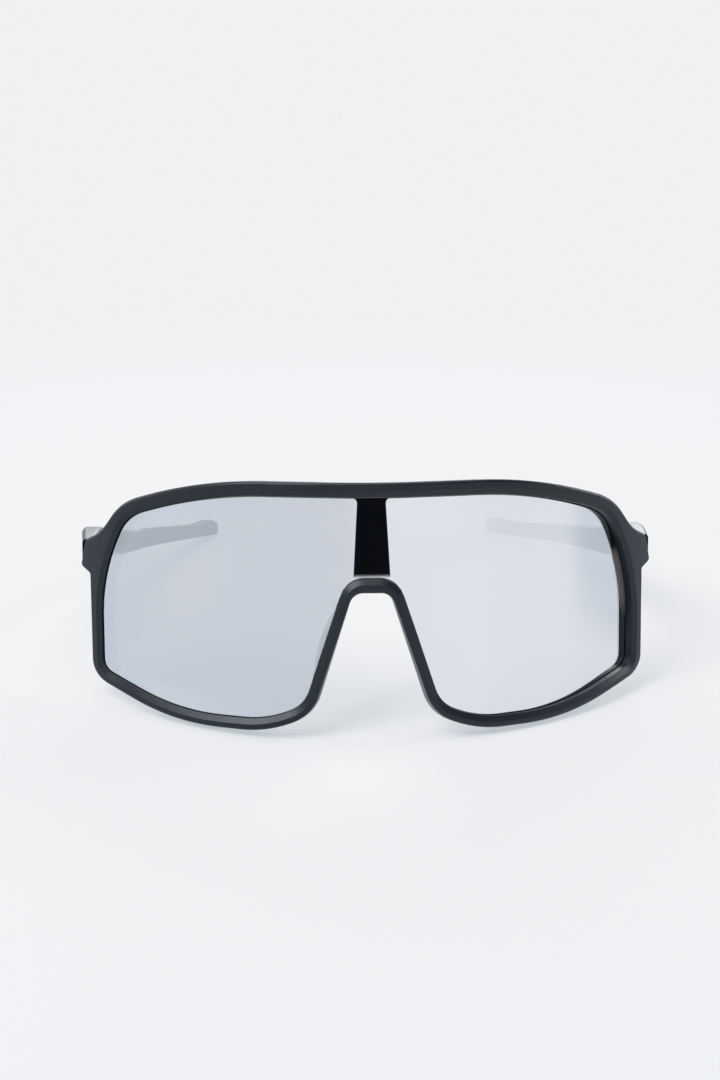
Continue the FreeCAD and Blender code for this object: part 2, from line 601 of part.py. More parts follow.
def pad_section(name, depth, width, shift):
    """The pad's outline at a depth behind the rim, leaning with the side of the nose."""
    near, far = f"{shift} - pad_front_width / 2", f"{shift} - pad_front_width / 2 + {width}"
    plane = Placement(pad_middle + Vector(0, value(depth), 0), nose_lean.multiply(FRONT_PLANE.Rotation))
    return rounded_loop(name, plane, [
        (near, "pad_height / 2", "pad_end_round"),
        (far, "pad_height / 4", "pad_bulge_radius"),
        (far, "-pad_height / 4", "pad_bulge_radius"),
        (near, "-pad_height / 2", "pad_end_round"),
    ])


pad_loft = made("Part::Loft", "pad_loft", Solid=True, Ruled=True, Sections=[
    pad_section("pad_root", "rim_depth / 2", "pad_front_width", "0"),
    pad_section("pad_edge", "rim_depth + pad_depth", "pad_back_width", "pad_splay"),
])
pad_blank = shared("pad_blank", pad_loft, drum("pad_bed", "rim_depth"))
PAD_EDGE = value("rim_depth + pad_depth")
pad_blade = dressed_body("pad_blade", pad_blank, (
    ("Fillet", {"Radius": "pad_edge_round"},
     lambda spots: all(abs(spot.y - PAD_EDGE) < NEAR for spot in spots)),
))


def peg(name, side, radius, extra):
    """A peg of the pad, square to the front, from inside the rim to inside the pad."""
    foot = pad_middle + nose_run * (side * value("peg_spacing") / 2)
    back = FACE_RADIUS - math.sqrt(SEAT_RADIUS ** 2 - foot.x ** 2)
    thing = made("Part::Cylinder", name)
    start = Vector(foot.x, back - value(f"peg_length + {extra}"), foot.z)
    thing.Placement = Placement(start, Rotation(Vector(0, 0, 1), BACK))
    return bind(thing, Radius=radius, Height=f"3 * peg_length + {extra}")


nose_pad = joined("nose_pad_left", pad_blade,
                  peg("peg_1", 1, "peg_radius", "0"), peg("peg_2", -1, "peg_radius", "0"))
front_cuts = joined("front_cuts", seat_cuts, peg("socket_1", 1, "peg_radius + peg_gap", "peg_gap"),
                    peg("socket_2", -1, "peg_radius + peg_gap", "peg_gap"))
front_cuts_right = made("Part::Mirroring", "front_cuts_right", Source=front_cuts, Normal=ACROSS)
both_cuts = made("Part::Compound", "both_cuts", Links=[front_cuts, front_cuts_right])
front_frame = less("front_frame", rim_body, both_cuts)

# Left temple, in the frame of the hinge: the axis is Z, the temple runs back along Y.
INNER = "(knuckle_radius + knuckle_room)"
OUTER = "(knuckle_radius + knuckle_room + temple_thickness)"
TURN = "atan(temple_sweep / temple_hook)"
KNEE = "(temple_length - temple_hook)"
FRONT_END = "-arm_overrun"
arm_plan = rounded_loop("arm_plan", PLAN_PLANE, [
    (INNER, FRONT_END, "0"),
    (INNER, f"{KNEE} - temple_thickness * tan({TURN} / 2)", "temple_bend_radius - temple_thickness"),
    (f"{OUTER} - temple_sweep - tip_thickness * cos({TURN})",
     f"temple_length - tip_thickness * sin({TURN})", "tip_round"),
    (f"{OUTER} - temple_sweep", "temple_length", "tip_round"),
    (OUTER, KNEE, "temple_bend_radius"),
    (f"{OUTER} + swell_out", "swell_reach", "swell_radius"),
    (f"{OUTER} - front_inset", FRONT_END, "0"),
])
arm_side = rounded_loop("arm_side", SIDE_PLANE, [
    (FRONT_END, "front_top", "0"),
    ("swell_reach", "swell_top", "swell_radius"),
    ("waist_reach", "waist_top", "waist_radius"),
    ("temple_length - bump_run", "bump_foot", "bump_hollow_radius"),
    ("temple_length - bump_setback", "bump_top", "bump_radius"),
    ("temple_length", "bump_top - tip_radius", "tip_radius"),
    ("temple_length", "heel_rise", "tip_radius"),
    ("belly_reach", "-belly_bottom", "belly_radius"),
    (FRONT_END, "-front_bottom", "0"),
])
UP = Vector(0, 0, 1)


def arm(name, wall):
    """The whole arm, front end to tip, that far inside its outlines."""
    plan, side = arm_plan, arm_side
    if wall:
        plan = bind(made("Part::Offset2D", name + "_plan", Source=arm_plan), Value=f"-({wall})")
        side = bind(made("Part::Offset2D", name + "_side", Source=arm_side), Value=f"-({wall})")
    slab = prism(name + "_slab", plan, UP, "2 * swell_top", "2 * swell_top")
    profile = prism(name + "_profile", side, ACROSS, "2 * temple_sweep", "2 * temple_sweep")
    return shared(name, slab, profile)


def arm_run(name, source, start, end):
    """The arm between two distances behind the hinge."""
    room = block(name + "_room", ("-2 * temple_sweep", start, "-2 * swell_top"),
                 ("4 * temple_sweep", f"{end} - ({start})", "4 * swell_top"))
    return shared(name, source, room)


arm_body = dressed_body("arm_body", arm("arm_blank", None), (
    ("Fillet", {"Radius": "temple_edge_round"}, lambda spots: abs(spots[0].y - spots[-1].y) > NEAR),
))
GRIP_START = "(temple_length - grip_length)"
TONGUE_ROOT = f"{GRIP_START} - 2 * grip_wall"
TONGUE_END = "temple_length - tongue_end"
tongue = arm_run("tongue", arm("tongue_bar", "grip_wall"), TONGUE_ROOT, TONGUE_END)
tongue_slot = arm_run("tongue_slot", arm("tongue_slot_bar", "grip_wall - grip_gap"), TONGUE_ROOT,
                      f"{TONGUE_END} + grip_gap")
temple_shaft = arm_run("temple_shaft", arm_body, f"2 * {FRONT_END}", GRIP_START)
grip_blank = arm_run("grip_blank", arm_body, GRIP_START, "2 * temple_length")
ear_grip = less("ear_grip_left", grip_blank, tongue_slot)

# The front end of the temple follows the end of the lug, a small gap away.
lug_top_turn = math.asin(value(f"{LUG_TOP} / {WRAP}"))
end_turn = (lug_turn + lug_top_turn) / 2
end_slope = math.atan2((lug_turn - lug_top_turn) * SEAT_RADIUS, value("lug_bottom_drop - lug_top_drop"))
end_spot = Vector(
    SEAT_RADIUS * math.sin(end_turn),
    FACE_RADIUS - SEAT_RADIUS * math.cos(end_turn),
    hinge_level,
)
end_lean = Rotation(UP, math.degrees(end_turn)).multiply(Rotation(BACK, -math.degrees(end_slope)))
mitre = made("Part::Box", "mitre")
bind(mitre, Length="4 * arm_overrun", Width="8 * arm_overrun", Height="8 * swell_top")
mitre_low = Vector(value("joint_gap - 4 * arm_overrun"), value("-4 * arm_overrun"), value("-4 * swell_top"))
lug_end = hinge.inverse().multiply(Placement(end_spot, end_lean))
mitre.Placement = lug_end.multiply(Placement(mitre_low, Rotation()))

# Temple hinge leaf and its screws.
LEAF_FACE = f"({INNER} + leaf_recess - leaf_thickness)"
LEAF_START = "(knuckle_radius + knuckle_room)"
RIVET_SPOTS = [f"({LEAF_START} + temple_leaf_length / 2 {sign} temple_rivet_spacing / 2)" for sign in "-+"]
temple_leaf_bar = joined(
    "temple_leaf_bar",
    block("temple_plate", (LEAF_FACE, LEAF_START, "-leaf_height / 2"),
          ("leaf_thickness", "temple_leaf_length", "leaf_height")),
    block("temple_web", ("0", "0", "-middle_knuckle_height / 2"),
          (f"{LEAF_FACE} + leaf_thickness", f"{LEAF_START} + leaf_recess", "middle_knuckle_height")),
    rod("temple_knuckle", ("0", "0", "-middle_knuckle_height / 2"), "knuckle_radius",
        "middle_knuckle_height"),
)
temple_leaf_cuts = joined(
    "temple_leaf_cuts",
    rod("temple_bore", ("0", "0", "-middle_knuckle_height"), "screw_radius + running_gap",
        "2 * middle_knuckle_height"),
    *[rod(f"temple_hole_{order}", (f"{LEAF_FACE} - leaf_thickness", spot, "0"), "rivet_radius + rivet_gap",
          "4 * leaf_thickness", ACROSS) for order, spot in enumerate(RIVET_SPOTS, start=1)],
)
temple_leaf = less("temple_hinge_leaf_left", temple_leaf_bar, temple_leaf_cuts)
temple_rivets = made("Part::Compound", "temple_leaf_screws_left", Links=[
    slotted_screw(f"temple_rivet_{order}", (f"{LEAF_FACE} + rivet_length", spot, "0"), "rivet_radius",
                  "rivet_length", "rivet_head_radius", "rivet_head_height", Vector(-1, 0, 0))
    for order, spot in enumerate(RIVET_SPOTS, start=1)
])
temple_cuts = joined(
    "temple_cuts",
    mitre,
    block("temple_pocket", (f"{INNER} - leaf_thickness", FRONT_END, "-leaf_height / 2 - leaf_gap"),
          ("leaf_thickness + leaf_recess", f"{LEAF_START} + temple_leaf_length + leaf_gap - ({FRONT_END})",
           "leaf_height + 2 * leaf_gap")),
    *[rod(f"temple_socket_{order}", (INNER, spot, "0"), "rivet_radius + rivet_gap",
          "rivet_length + leaf_recess - leaf_thickness + leaf_gap", ACROSS)
      for order, spot in enumerate(RIVET_SPOTS, start=1)],
)
temple = less("temple_left", joined("temple_bar", temple_shaft, tongue), temple_cuts)

# Lean the worn glasses back until the lower rim and both grips stand on the table.
LEFT = [
    (nose_pad, Placement()),
    (front_leaf, seat),
    (front_rivets, seat),
    (hinge_screw, seat),
    (temple, hinge),
    (temple_leaf, hinge),
    (temple_rivets, hinge),
    (ear_grip, hinge),
]
MIDDLE = [(front_frame, Placement()), (shield_lens, Placement()), (bridge_strip, Placement())]
doc.recompute()


def leaned_box(thing, worn, lean):
    """The box around a piece, as worn and then leaned back about X."""
    shape = thing.Shape.copy()
    shape.Placement = Placement(Vector(), Rotation(ACROSS, -lean)).multiply(worn)
    return shape.optimalBoundingBox(False)


lean = 0.0
for _ in range(LEAN_STEPS):
    lift = leaned_box(ear_grip, hinge, lean).ZMin - leaned_box(front_frame, Placement(), lean).ZMin
    lean += math.degrees(lift / (hinge.Base.y + value("temple_length")))
around = FreeCAD.BoundBox()
for thing, worn in MIDDLE + LEFT:
    around.add(leaned_box(thing, worn, lean))
rest = Placement(Vector(0, -around.Center.y, -around.ZMin), Rotation(ACROSS, -lean))
for thing, worn in MIDDLE + LEFT:
    thing.Placement = rest.multiply(worn)
pieces = [thing for thing, _ in MIDDLE + LEFT]
for thing, _ in LEFT:
    name = thing.Label.replace("_left", "_right")
    pieces.append(made("Part::Mirroring", name, Source=thing, Normal=ACROSS))
doc.recompute()

faults = [thing.Label for thing in doc.Objects if {"Invalid", "Error"} & set(thing.State)]
faults += [thing.Label for thing in pieces if thing.Shape.isNull() or not thing.Shape.isValid()]
if faults:
    raise RuntimeError("pieces that failed: " + ", ".join(faults))
os.makedirs("parts", exist_ok=True)
for thing in pieces:
    thing.Shape.exportStep(f"parts/{thing.Label}.step")
    print(f"{thing.Label}: {len(thing.Shape.Solids)} solid(s), {thing.Shape.Volume:.1f} mm3")
axis_spot, axis_way = rest.multVec(hinge.Base), rest.Rotation.multVec(UP)
print(f"lean {lean:.3f} degrees, hinge axis at {axis_spot}, along {axis_way}")
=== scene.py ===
"""Looks of the shield sunglasses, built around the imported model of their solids.

The pieces are drawn as the glasses are worn (X to the wearer's left, Y to the back, Z up, the front of
the rim at Y = 0, millimetres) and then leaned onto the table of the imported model, in metres.
"""
from __future__ import annotations

import json
import logging
import math
from dataclasses import dataclass, field
from enum import Enum
from typing import Any, Callable

import bpy
import numpy as np
from mathutils import Matrix, Vector

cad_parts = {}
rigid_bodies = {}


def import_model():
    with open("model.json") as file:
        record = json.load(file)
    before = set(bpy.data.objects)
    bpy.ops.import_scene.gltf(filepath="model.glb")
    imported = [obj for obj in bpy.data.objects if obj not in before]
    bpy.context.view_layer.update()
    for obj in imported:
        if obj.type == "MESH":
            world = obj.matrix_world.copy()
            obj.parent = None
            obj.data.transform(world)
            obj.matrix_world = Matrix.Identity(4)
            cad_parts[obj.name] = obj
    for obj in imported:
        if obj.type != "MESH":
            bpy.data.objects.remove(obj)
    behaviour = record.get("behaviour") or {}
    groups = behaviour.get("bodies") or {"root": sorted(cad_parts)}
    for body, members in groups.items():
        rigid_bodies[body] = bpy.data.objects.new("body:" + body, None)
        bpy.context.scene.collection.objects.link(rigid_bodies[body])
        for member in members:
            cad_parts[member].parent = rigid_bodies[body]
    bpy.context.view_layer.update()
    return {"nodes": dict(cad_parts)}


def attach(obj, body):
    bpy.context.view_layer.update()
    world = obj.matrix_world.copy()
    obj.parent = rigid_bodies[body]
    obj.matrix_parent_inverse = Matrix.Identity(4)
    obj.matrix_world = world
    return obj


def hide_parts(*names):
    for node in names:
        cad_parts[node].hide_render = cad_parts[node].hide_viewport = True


LOG = logging.getLogger("shield_sunglasses")
MILLIMETRE = 0.001
INSET = "inset_mm"
COVER = "cover"
# Share of painted light: the lit inner wall of the rim, seen through the lens border lower on the left side.
WALL_LIGHT = "painted_wall_light_share"
Number = float | int
Colour = tuple[float, ...]
Span = tuple[float, float]
Spot = tuple[float, float, float]


class Side(Enum):
    """The wearer's side of the glasses, with the sign of its X."""

    LEFT = 1.0
    RIGHT = -1.0

    @property
    def word(self) -> str:
        """The side's ending in the names of pieces."""
        return self.name.lower()


class Op(Enum):
    """Operations of a Math node that the finishes use."""

    ADD = "ADD"
    SUBTRACT = "SUBTRACT"
    MULTIPLY = "MULTIPLY"
    ABSOLUTE = "ABSOLUTE"
    ARCTAN2 = "ARCTAN2"


class Body(Enum):
    """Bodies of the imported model."""

    FRONT = "front"
    LEFT_ARM = "temple_left_arm"
    RIGHT_ARM = "temple_right_arm"


ARM_OF = {Side.LEFT: Body.LEFT_ARM, Side.RIGHT: Body.RIGHT_ARM}


class Val:
    """A node's output. Arithmetic on it adds Math nodes to the same tree."""

    def __init__(self, book: NodeBook, socket: bpy.types.NodeSocket) -> None:
        """Keep the socket and the tree that it belongs to."""
        self.book = book
        self.socket = socket

    def math(self, op: Op, first: Val | Number, second: Val | Number = 0.0) -> Val:
        """One Math node, with a second value where the operation has one."""
        return self.book.add("ShaderNodeMath", {"operation": op.value}, {0: first, 1: second})

    def __add__(self, other: Val | Number) -> Val:
        """The sum of both."""
        return self.math(Op.ADD, self, other)

    def __radd__(self, other: Number) -> Val:
        """The sum of both."""
        return self.math(Op.ADD, other, self)

    def __sub__(self, other: Val | Number) -> Val:
        """This less the other."""
        return self.math(Op.SUBTRACT, self, other)

    def __rsub__(self, other: Number) -> Val:
        """The other less this."""
        return self.math(Op.SUBTRACT, other, self)

    def __mul__(self, other: Val | Number) -> Val:
        """The product of both."""
        return self.math(Op.MULTIPLY, self, other)

    def __rmul__(self, other: Number) -> Val:
        """The product of both."""
        return self.math(Op.MULTIPLY, other, self)

    def size(self) -> Val:
        """This without its sign."""
        return self.math(Op.ABSOLUTE, self)

    def step(self, low: Number, high: Number, floor: Number = 0.0, top: Number = 1.0) -> Val:
        """A soft step from floor to top, while this goes from low to high."""
        inputs = {"Value": self, "From Min": low, "From Max": high, "To Min": floor, "To Max": top}
        return self.book.add("ShaderNodeMapRange", {"interpolation_type": "SMOOTHSTEP"}, inputs)


@dataclass(frozen=True)
class Noise:
    """Cloudy noise: clouds for each metre, finer layers and their weight."""

    per_metre: float
    layers: float = 2.0
    weight: float = 0.5


class NodeBook:
    """Adds nodes to one tree."""

    def __init__(self, tree: bpy.types.NodeTree) -> None:
        """Start from an empty tree."""
        self.tree = tree
        tree.nodes.clear()

    def add(self, kind: str, settings: dict[str, Any], inputs: dict[str | int, Any],
            output: str | int = 0) -> Val:
        """Any node, set up and linked.

        Args:
            kind: the node's type.
            settings: its own properties, set first.
            inputs: numbers, colours or other outputs for its sockets.
            output: which of its outputs comes back.

        Returns:
            That output.
        """
        node = self.tree.nodes.new(kind)
        for name, setting in settings.items():
            setattr(node, name, setting)
        for key, given in inputs.items():
            if isinstance(given, Val):
                self.tree.links.new(given.socket, node.inputs[key])
            else:
                node.inputs[key].default_value = given
        return Val(self, node.outputs[output]) if len(node.outputs) else Val(self, None)

    def spot(self) -> Val:
        """The place on the piece, in the model's own frame."""
        return self.add("ShaderNodeTexCoord", {}, {}, "Object")

    def own(self, name: str) -> Val:
        """A number that the piece's mesh keeps at each point."""
        return self.add("ShaderNodeAttribute", {"attribute_name": name}, {}, "Fac")

    def axes(self, spot: Val) -> tuple[Val, Val, Val]:
        """The X, Y and Z of a place."""
        parts = self.add("ShaderNodeSeparateXYZ", {}, {0: spot}).socket.node
        return Val(self, parts.outputs[0]), Val(self, parts.outputs[1]), Val(self, parts.outputs[2])

    def rays(self) -> tuple[Val, Val, Val]:
        """How the light path came to this place.

        Returns:
            1 where the camera sees it straight, where it sees it straight or through a clear piece, and where
            a mirror shows it; elsewhere 0.
        """
        camera = self.add("ShaderNodeLightPath", {}, {}, "Is Camera Ray")
        kinds = camera.socket.node.outputs
        seen = (camera + Val(self, kinds["Is Transmission Ray"])).step(0.0, 1.0)
        return camera, seen, Val(self, kinds["Is Glossy Ray"])

    def noise(self, spot: Val, kind: Noise) -> Val:
        """Cloudy noise between 0 and 1, read at a place."""
        inputs = {"Vector": spot, "Scale": kind.per_metre, "Detail": kind.layers, "Roughness": kind.weight}
        return self.add("ShaderNodeTexNoise", {}, inputs)

    def mix(self, share: Val | Number, first: Any, second: Any) -> Val:
        """Two colours or outputs mixed, with a share of the second."""
        return self.add("ShaderNodeMix", {"data_type": "RGBA"}, {0: share, 6: first, 7: second}, 2)

    def bump(self, height: Val, relief: Span) -> Val:
        """A normal that follows a height; its relief is the millimetres for a height of one, and a share."""
        inputs = {"Height": height, "Distance": relief[0] * MILLIMETRE, "Strength": relief[1]}
        return self.add("ShaderNodeBump", {}, inputs)


def rgba(red: float, green: float, blue: float) -> Colour:
    """A solid linear colour."""
    return (red, green, blue, 1.0)


@dataclass(frozen=True)
class Finish:
    """A surface finish: one material, which also keeps the name of one of the record's slots."""

    name: str
    slot: str

    def shade(self, book: NodeBook) -> dict[str, Any]:
        """Inputs of the surface shader: socket names with numbers, colours or outputs."""
        raise NotImplementedError

    def material(self) -> bpy.types.Material:
        """The material, made the first time that it is asked for.

        Returns:
            A material with this finish.
        """
        known = bpy.data.materials.get(self.name)
        if known is not None:
            return known
        made = bpy.data.materials.new(self.name)
        made.use_nodes = True
        book = NodeBook(made.node_tree)
        surface = book.add("ShaderNodeBsdfPrincipled", {}, self.shade(book))
        book.add("ShaderNodeOutputMaterial", {}, {"Surface": surface})
        return made


@dataclass(frozen=True)
class CloudySkin(Finish):
    """Clouds of colour and polish under a fine skin."""

    dark: Colour
    light: Colour
    cloud: Noise
    skin: Noise
    skin_relief: Span
    roughness: float
    cloud_dulls: float
    cloud_edges: Span | None = None
    metallic: float = 0.0
    gloss: float = 0.5

    def shade(self, book: NodeBook) -> dict[str, Any]:
        """Two colours mixed by the clouds, which also dull the polish.

        Args:
            book: the material's tree.

        Returns:
            Inputs of the surface shader.
        """
        spot = book.spot()
        cloud = book.noise(spot, self.cloud)
        share = cloud.step(*self.cloud_edges) if self.cloud_edges else cloud
        return {
            "Base Color": book.mix(share, self.dark, self.light),
            "Metallic": self.metallic,
            "Roughness": self.roughness + self.cloud_dulls * cloud,
            "Normal": book.bump(book.noise(spot, self.skin), self.skin_relief),
            "Specular IOR Level": self.gloss,
        }


@dataclass(frozen=True)
class MouldedBlack(CloudySkin):
    """Matte black nylon with a fine spark-eroded grain and faint handling marks."""

    name: str = "moulded_black"
    slot: str = "frame_black"
    dark: Colour = rgba(0.0050, 0.0068, 0.0110)
    light: Colour = rgba(0.0078, 0.0102, 0.0156)
    sheen: Colour = rgba(0.86, 0.93, 1.0)
    cloud: Noise = Noise(55.0, 4.0, 0.6)
    cloud_edges: Span = (0.3, 0.7)
    skin: Noise = Noise(5200.0, 1.0)
    skin_relief: Span = (0.006, 0.55)
    marks: Noise = Noise(495.0, 3.0, 0.7)
    mark_edges: Span = (0.56, 0.74)
    roughness: float = 0.30
    cloud_dulls: float = 0.10
    skin_dulls: float = 0.03
    mark_shines: float = 0.05

    def shade(self, book: NodeBook) -> dict[str, Any]:
        """The clouds and the grain with a bluish sheen, dulled by the grain and polished by the marks.

        Args:
            book: the material's tree.

        Returns:
            Inputs of the surface shader.
        """
        spot = book.spot()
        marks = book.noise(spot, self.marks).step(*self.mark_edges)
        given = super().shade(book)
        polish = self.mark_shines * marks - self.skin_dulls * book.noise(spot, self.skin)
        return {**given, "Roughness": given["Roughness"] - polish, "Specular Tint": self.sheen}


@dataclass(frozen=True)
class MirrorCoat(Finish):
    """Silver mirror coat on the front of the lens, thin enough to see through faintly."""

    name: str = "mirror_coat"
    slot: str = "lens_mirror"
    cool: Colour = rgba(0.800, 0.835, 0.875)
    warm: Colour = rgba(0.860, 0.885, 0.915)
    # Painted shade: the uncoated border of the lens is shown near black and nearly opaque, as the dark of the
    # rim's groove behind it.
    bare: Colour = rgba(0.010, 0.009, 0.010)
    # Painted light: the brownish lit inner wall of the rim, seen through the lens border.
    painted_wall_light: Colour = rgba(0.250, 0.235, 0.245)
    groove_shade_cover: float = 0.88
    fringe: float = 0.06
    drift: Noise = Noise(14.0)
    drift_edges: Span = (0.35, 0.65)
    drift_covers: float = 0.02
    smear: Noise = Noise(160.0, 4.0, 0.65)
    smear_edges: Span = (0.45, 0.8)
    roughness: float = 0.045
    smear_dulls: float = 0.035

    def shade(self, book: NodeBook) -> dict[str, Any]:
        """A metal film, with an uncoated border outside it that is painted near black as the shade inside the
        rim's groove; lower on the left side that border is brownish, a painted light of the rim's inner wall
        seen through the lens.

        Args:
            book: the material's tree.

        Returns:
            Inputs of the surface shader.
        """
        spot = book.spot()
        drift = book.noise(spot, self.drift)
        smear = book.noise(spot, self.smear).step(*self.smear_edges)
        coated = book.own(INSET).step(-self.fringe, self.fringe)
        film = book.mix(drift.step(*self.drift_edges), self.cool, self.warm)
        cover = book.own(COVER) + self.drift_covers * drift
        return {
            # The border gets painted shade, turning to painted light of the rim's wall where that share is
            # set; the coat's film lies inside it.
            "Base Color": book.mix(coated, book.mix(book.own(WALL_LIGHT), self.bare, self.painted_wall_light), film),
            "Metallic": coated,
            "Roughness": self.roughness + self.smear_dulls * smear,
            "Alpha": coated * cover + (1.0 - coated) * self.groove_shade_cover,
        }


@dataclass(frozen=True)
class SmokeLens(Finish):
    """Grey tinted polycarbonate: the back and the edge of the lens."""

    name: str = "smoke_lens"
    slot: str = "lens_mirror"
    dark: Colour = rgba(0.018, 0.032, 0.052)
    light: Colour = rgba(0.024, 0.040, 0.062)
    cover: float = 0.27
    haze: Noise = Noise(18.0)
    haze_covers: float = 0.04
    smear: Noise = Noise(160.0, 4.0, 0.65)
    smear_edges: Span = (0.45, 0.8)
    roughness: float = 0.05
    smear_dulls: float = 0.05

    def shade(self, book: NodeBook) -> dict[str, Any]:
        """A dark clear sheet with a polished face.

        Args:
            book: the material's tree.

        Returns:
            Inputs of the surface shader.
        """
        spot = book.spot()
        haze = book.noise(spot, self.haze)
        smear = book.noise(spot, self.smear).step(*self.smear_edges)
        return {
            "Base Color": book.mix(haze, self.dark, self.light),
            "Roughness": self.roughness + self.smear_dulls * smear,
            "Alpha": self.cover + self.haze_covers * haze,
        }


@dataclass(frozen=True)
class PolishedBlack(CloudySkin):
    """The uncoated black strip in the middle of the lens: near black, with faint polish marks."""

    name: str = "polished_black"
    slot: str = "strip_gloss"
    dark: Colour = rgba(0.0012, 0.0018, 0.0032)
    light: Colour = rgba(0.0022, 0.0032, 0.0052)
    cloud: Noise = Noise(240.0, 4.0, 0.7)
    skin: Noise = Noise(900.0)
    skin_relief: Span = (0.004, 0.3)
    roughness: float = 0.18
    cloud_dulls: float = 0.10
    gloss: float = 0.04
    fading: Span = (-0.1, 1.35)

    def shade(self, book: NodeBook) -> dict[str, Any]:
        """The same, thinning out at the foot."""
        return {**super().shade(book), "Alpha": book.own(INSET).step(*self.fading)}


@dataclass(frozen=True)
class MilkySilicone(CloudySkin):
    """Translucent-looking soft silicone of the nose pads, pale and slightly green."""

    name: str = "milky_silicone"
    slot: str = "pad_silicone"
    dark: Colour = rgba(0.68, 0.76, 0.75)
    light: Colour = rgba(0.78, 0.86, 0.85)
    cloud: Noise = Noise(120.0, 3.0)
    skin: Noise = Noise(3600.0, 1.0)
    skin_relief: Span = (0.008, 0.6)
    roughness: float = 0.46
    cloud_dulls: float = 0.12
    milk: float = 0.25
    milk_reach: Spot = (0.0012, 0.0012, 0.0011)

    def shade(self, book: NodeBook) -> dict[str, Any]:
        """The same, with light that spreads below the skin."""
        return {**super().shade(book), "Subsurface Weight": self.milk, "Subsurface Radius": self.milk_reach}


@dataclass(frozen=True)
class SoftRubber(CloudySkin):
    """Soft dull black rubber of the ear grips, with a dusty bloom."""

    name: str = "soft_rubber"
    slot: str = "grip_rubber"
    dark: Colour = rgba(0.010, 0.011, 0.014)
    light: Colour = rgba(0.020, 0.022, 0.026)
    cloud: Noise = Noise(90.0, 4.0, 0.65)
    cloud_edges: Span = (0.4, 0.75)
    skin: Noise = Noise(4200.0, 1.0)
    skin_relief: Span = (0.010, 0.7)
    roughness: float = 0.62
    cloud_dulls: float = 0.16
    gloss: float = 0.35


@dataclass(frozen=True)
class TurnedSteel(CloudySkin):
    """Turned steel of the screws, with a fine irregular polish."""

    name: str = "turned_steel"
    slot: str = "screw_steel"
    dark: Colour = rgba(0.17, 0.17, 0.18)
    light: Colour = rgba(0.29, 0.29, 0.29)
    cloud: Noise = Noise(2600.0, 3.0)
    skin: Noise = Noise(2600.0, 3.0)
    skin_relief: Span = (0.002, 0.3)
    roughness: float = 0.56
    cloud_dulls: float = 0.16
    metallic: float = 1.0


@dataclass(frozen=True)
class BrushedSteel(Finish):
    """Brushed steel of the hinge leaves, with the brush marks along the leaf."""

    name: str = "brushed_steel"
    slot: str = "hinge_steel"
    dark: Colour = rgba(0.21, 0.21, 0.22)
    light: Colour = rgba(0.38, 0.38, 0.39)
    stretch: Spot = (900.0, 900.0, 9000.0)
    brush: Noise = Noise(1.0, 2.0, 0.6)
    brush_relief: Span = (0.003, 0.4)
    stain: Noise = Noise(400.0, 3.0)
    roughness: float = 0.50
    brush_dulls: float = 0.14
    stain_dulls: float = 0.08

    def shade(self, book: NodeBook) -> dict[str, Any]:
        """Long thin streaks of colour, polish and height.

        Args:
            book: the material's tree.

        Returns:
            Inputs of the surface shader.
        """
        spot = book.spot()
        streaks = book.add("ShaderNodeVectorMath", {"operation": "MULTIPLY"}, {0: spot, 1: self.stretch})
        brush, stain = book.noise(streaks, self.brush), book.noise(spot, self.stain)
        return {
            "Base Color": book.mix(brush, self.dark, self.light),
            "Metallic": 1.0,
            "Roughness": self.roughness + self.brush_dulls * brush + self.stain_dulls * stain,
            "Normal": book.bump(brush, self.brush_relief),
        }


def grid_faces(rows: int, columns: int, start: int = 0, closed: bool = False) -> np.ndarray:
    """Quads of a grid of points, row after row.

    Args:
        rows: number of rows.
        columns: points in a row.
        start: index of the first point.
        closed: whether each row runs back into its first point.

    Returns:
        Four point indices for each face.
    """
    across = np.arange(columns if closed else columns - 1)
    down = np.arange(rows - 1)[:, None]
    here, there = across, (across + 1) % columns
    corners = [down * columns + here, down * columns + there,
               (down + 1) * columns + there, (down + 1) * columns + here]
    return start + np.stack([np.broadcast_to(c, (rows - 1, across.size)) for c in corners], -1).reshape(-1, 4)


def closed_sheet(front: np.ndarray, back: np.ndarray) -> tuple[np.ndarray, list[np.ndarray]]:
    """Two grids of points, one behind the other, joined around their edge.

    Args:
        front: rows of points on the front.
        back: the same rows on the back.

    Returns:
        All points, and the faces of the front, of the back and of the wall between them.
    """
    rows, columns = front.shape[:2]
    count = rows * columns
    index = np.arange(count).reshape(rows, columns)
    ring = np.concatenate([index[0], index[1:, -1], index[-1, -2::-1], index[-2:0:-1, 0]])
    after = np.roll(ring, -1)
    wall = np.stack([ring, ring + count, after + count, after], -1)
    faces = [grid_faces(rows, columns), grid_faces(rows, columns, count)[:, ::-1], wall]
    return np.concatenate([front.reshape(-1, 3), back.reshape(-1, 3)]), faces


def piece(name: str, points: np.ndarray, faces: list[np.ndarray], finishes: list[Finish],
          parts: list[int] | None = None, numbers: dict[str, np.ndarray] | None = None) -> bpy.types.Object:
    """A mesh object of points in metres, with outward faces.

    Args:
        name: the piece's name.
        points: one row for each point.
        faces: groups of quads or triangles.
        finishes: the piece's materials.
        parts: for each group of faces, which material it has.
        numbers: named numbers that the mesh keeps at each point for its finishes.

    Returns:
        The new object, at the origin.
    """
    mesh = bpy.data.meshes.new(name)
    lists = [face for group in faces for face in group.tolist()]
    mesh.from_pydata(points.reshape(-1, 3), [], lists)
    for finish in finishes:
        mesh.materials.append(finish.material())
    if parts is not None:
        order = np.concatenate([np.full(len(group), part) for group, part in zip(faces, parts)])
        mesh.polygons.foreach_set("material_index", order.astype(np.int32))
    for label, given in (numbers or {}).items():
        kept = mesh.attributes.new(label, "FLOAT", "POINT")
        kept.data.foreach_set("value", given.astype(np.float32).ravel())
    mesh.polygons.foreach_set("use_smooth", np.ones(len(mesh.polygons), dtype=bool))
    mesh.update()
    made = bpy.data.objects.new(name, mesh)
    bpy.context.scene.collection.objects.link(made)
    return made


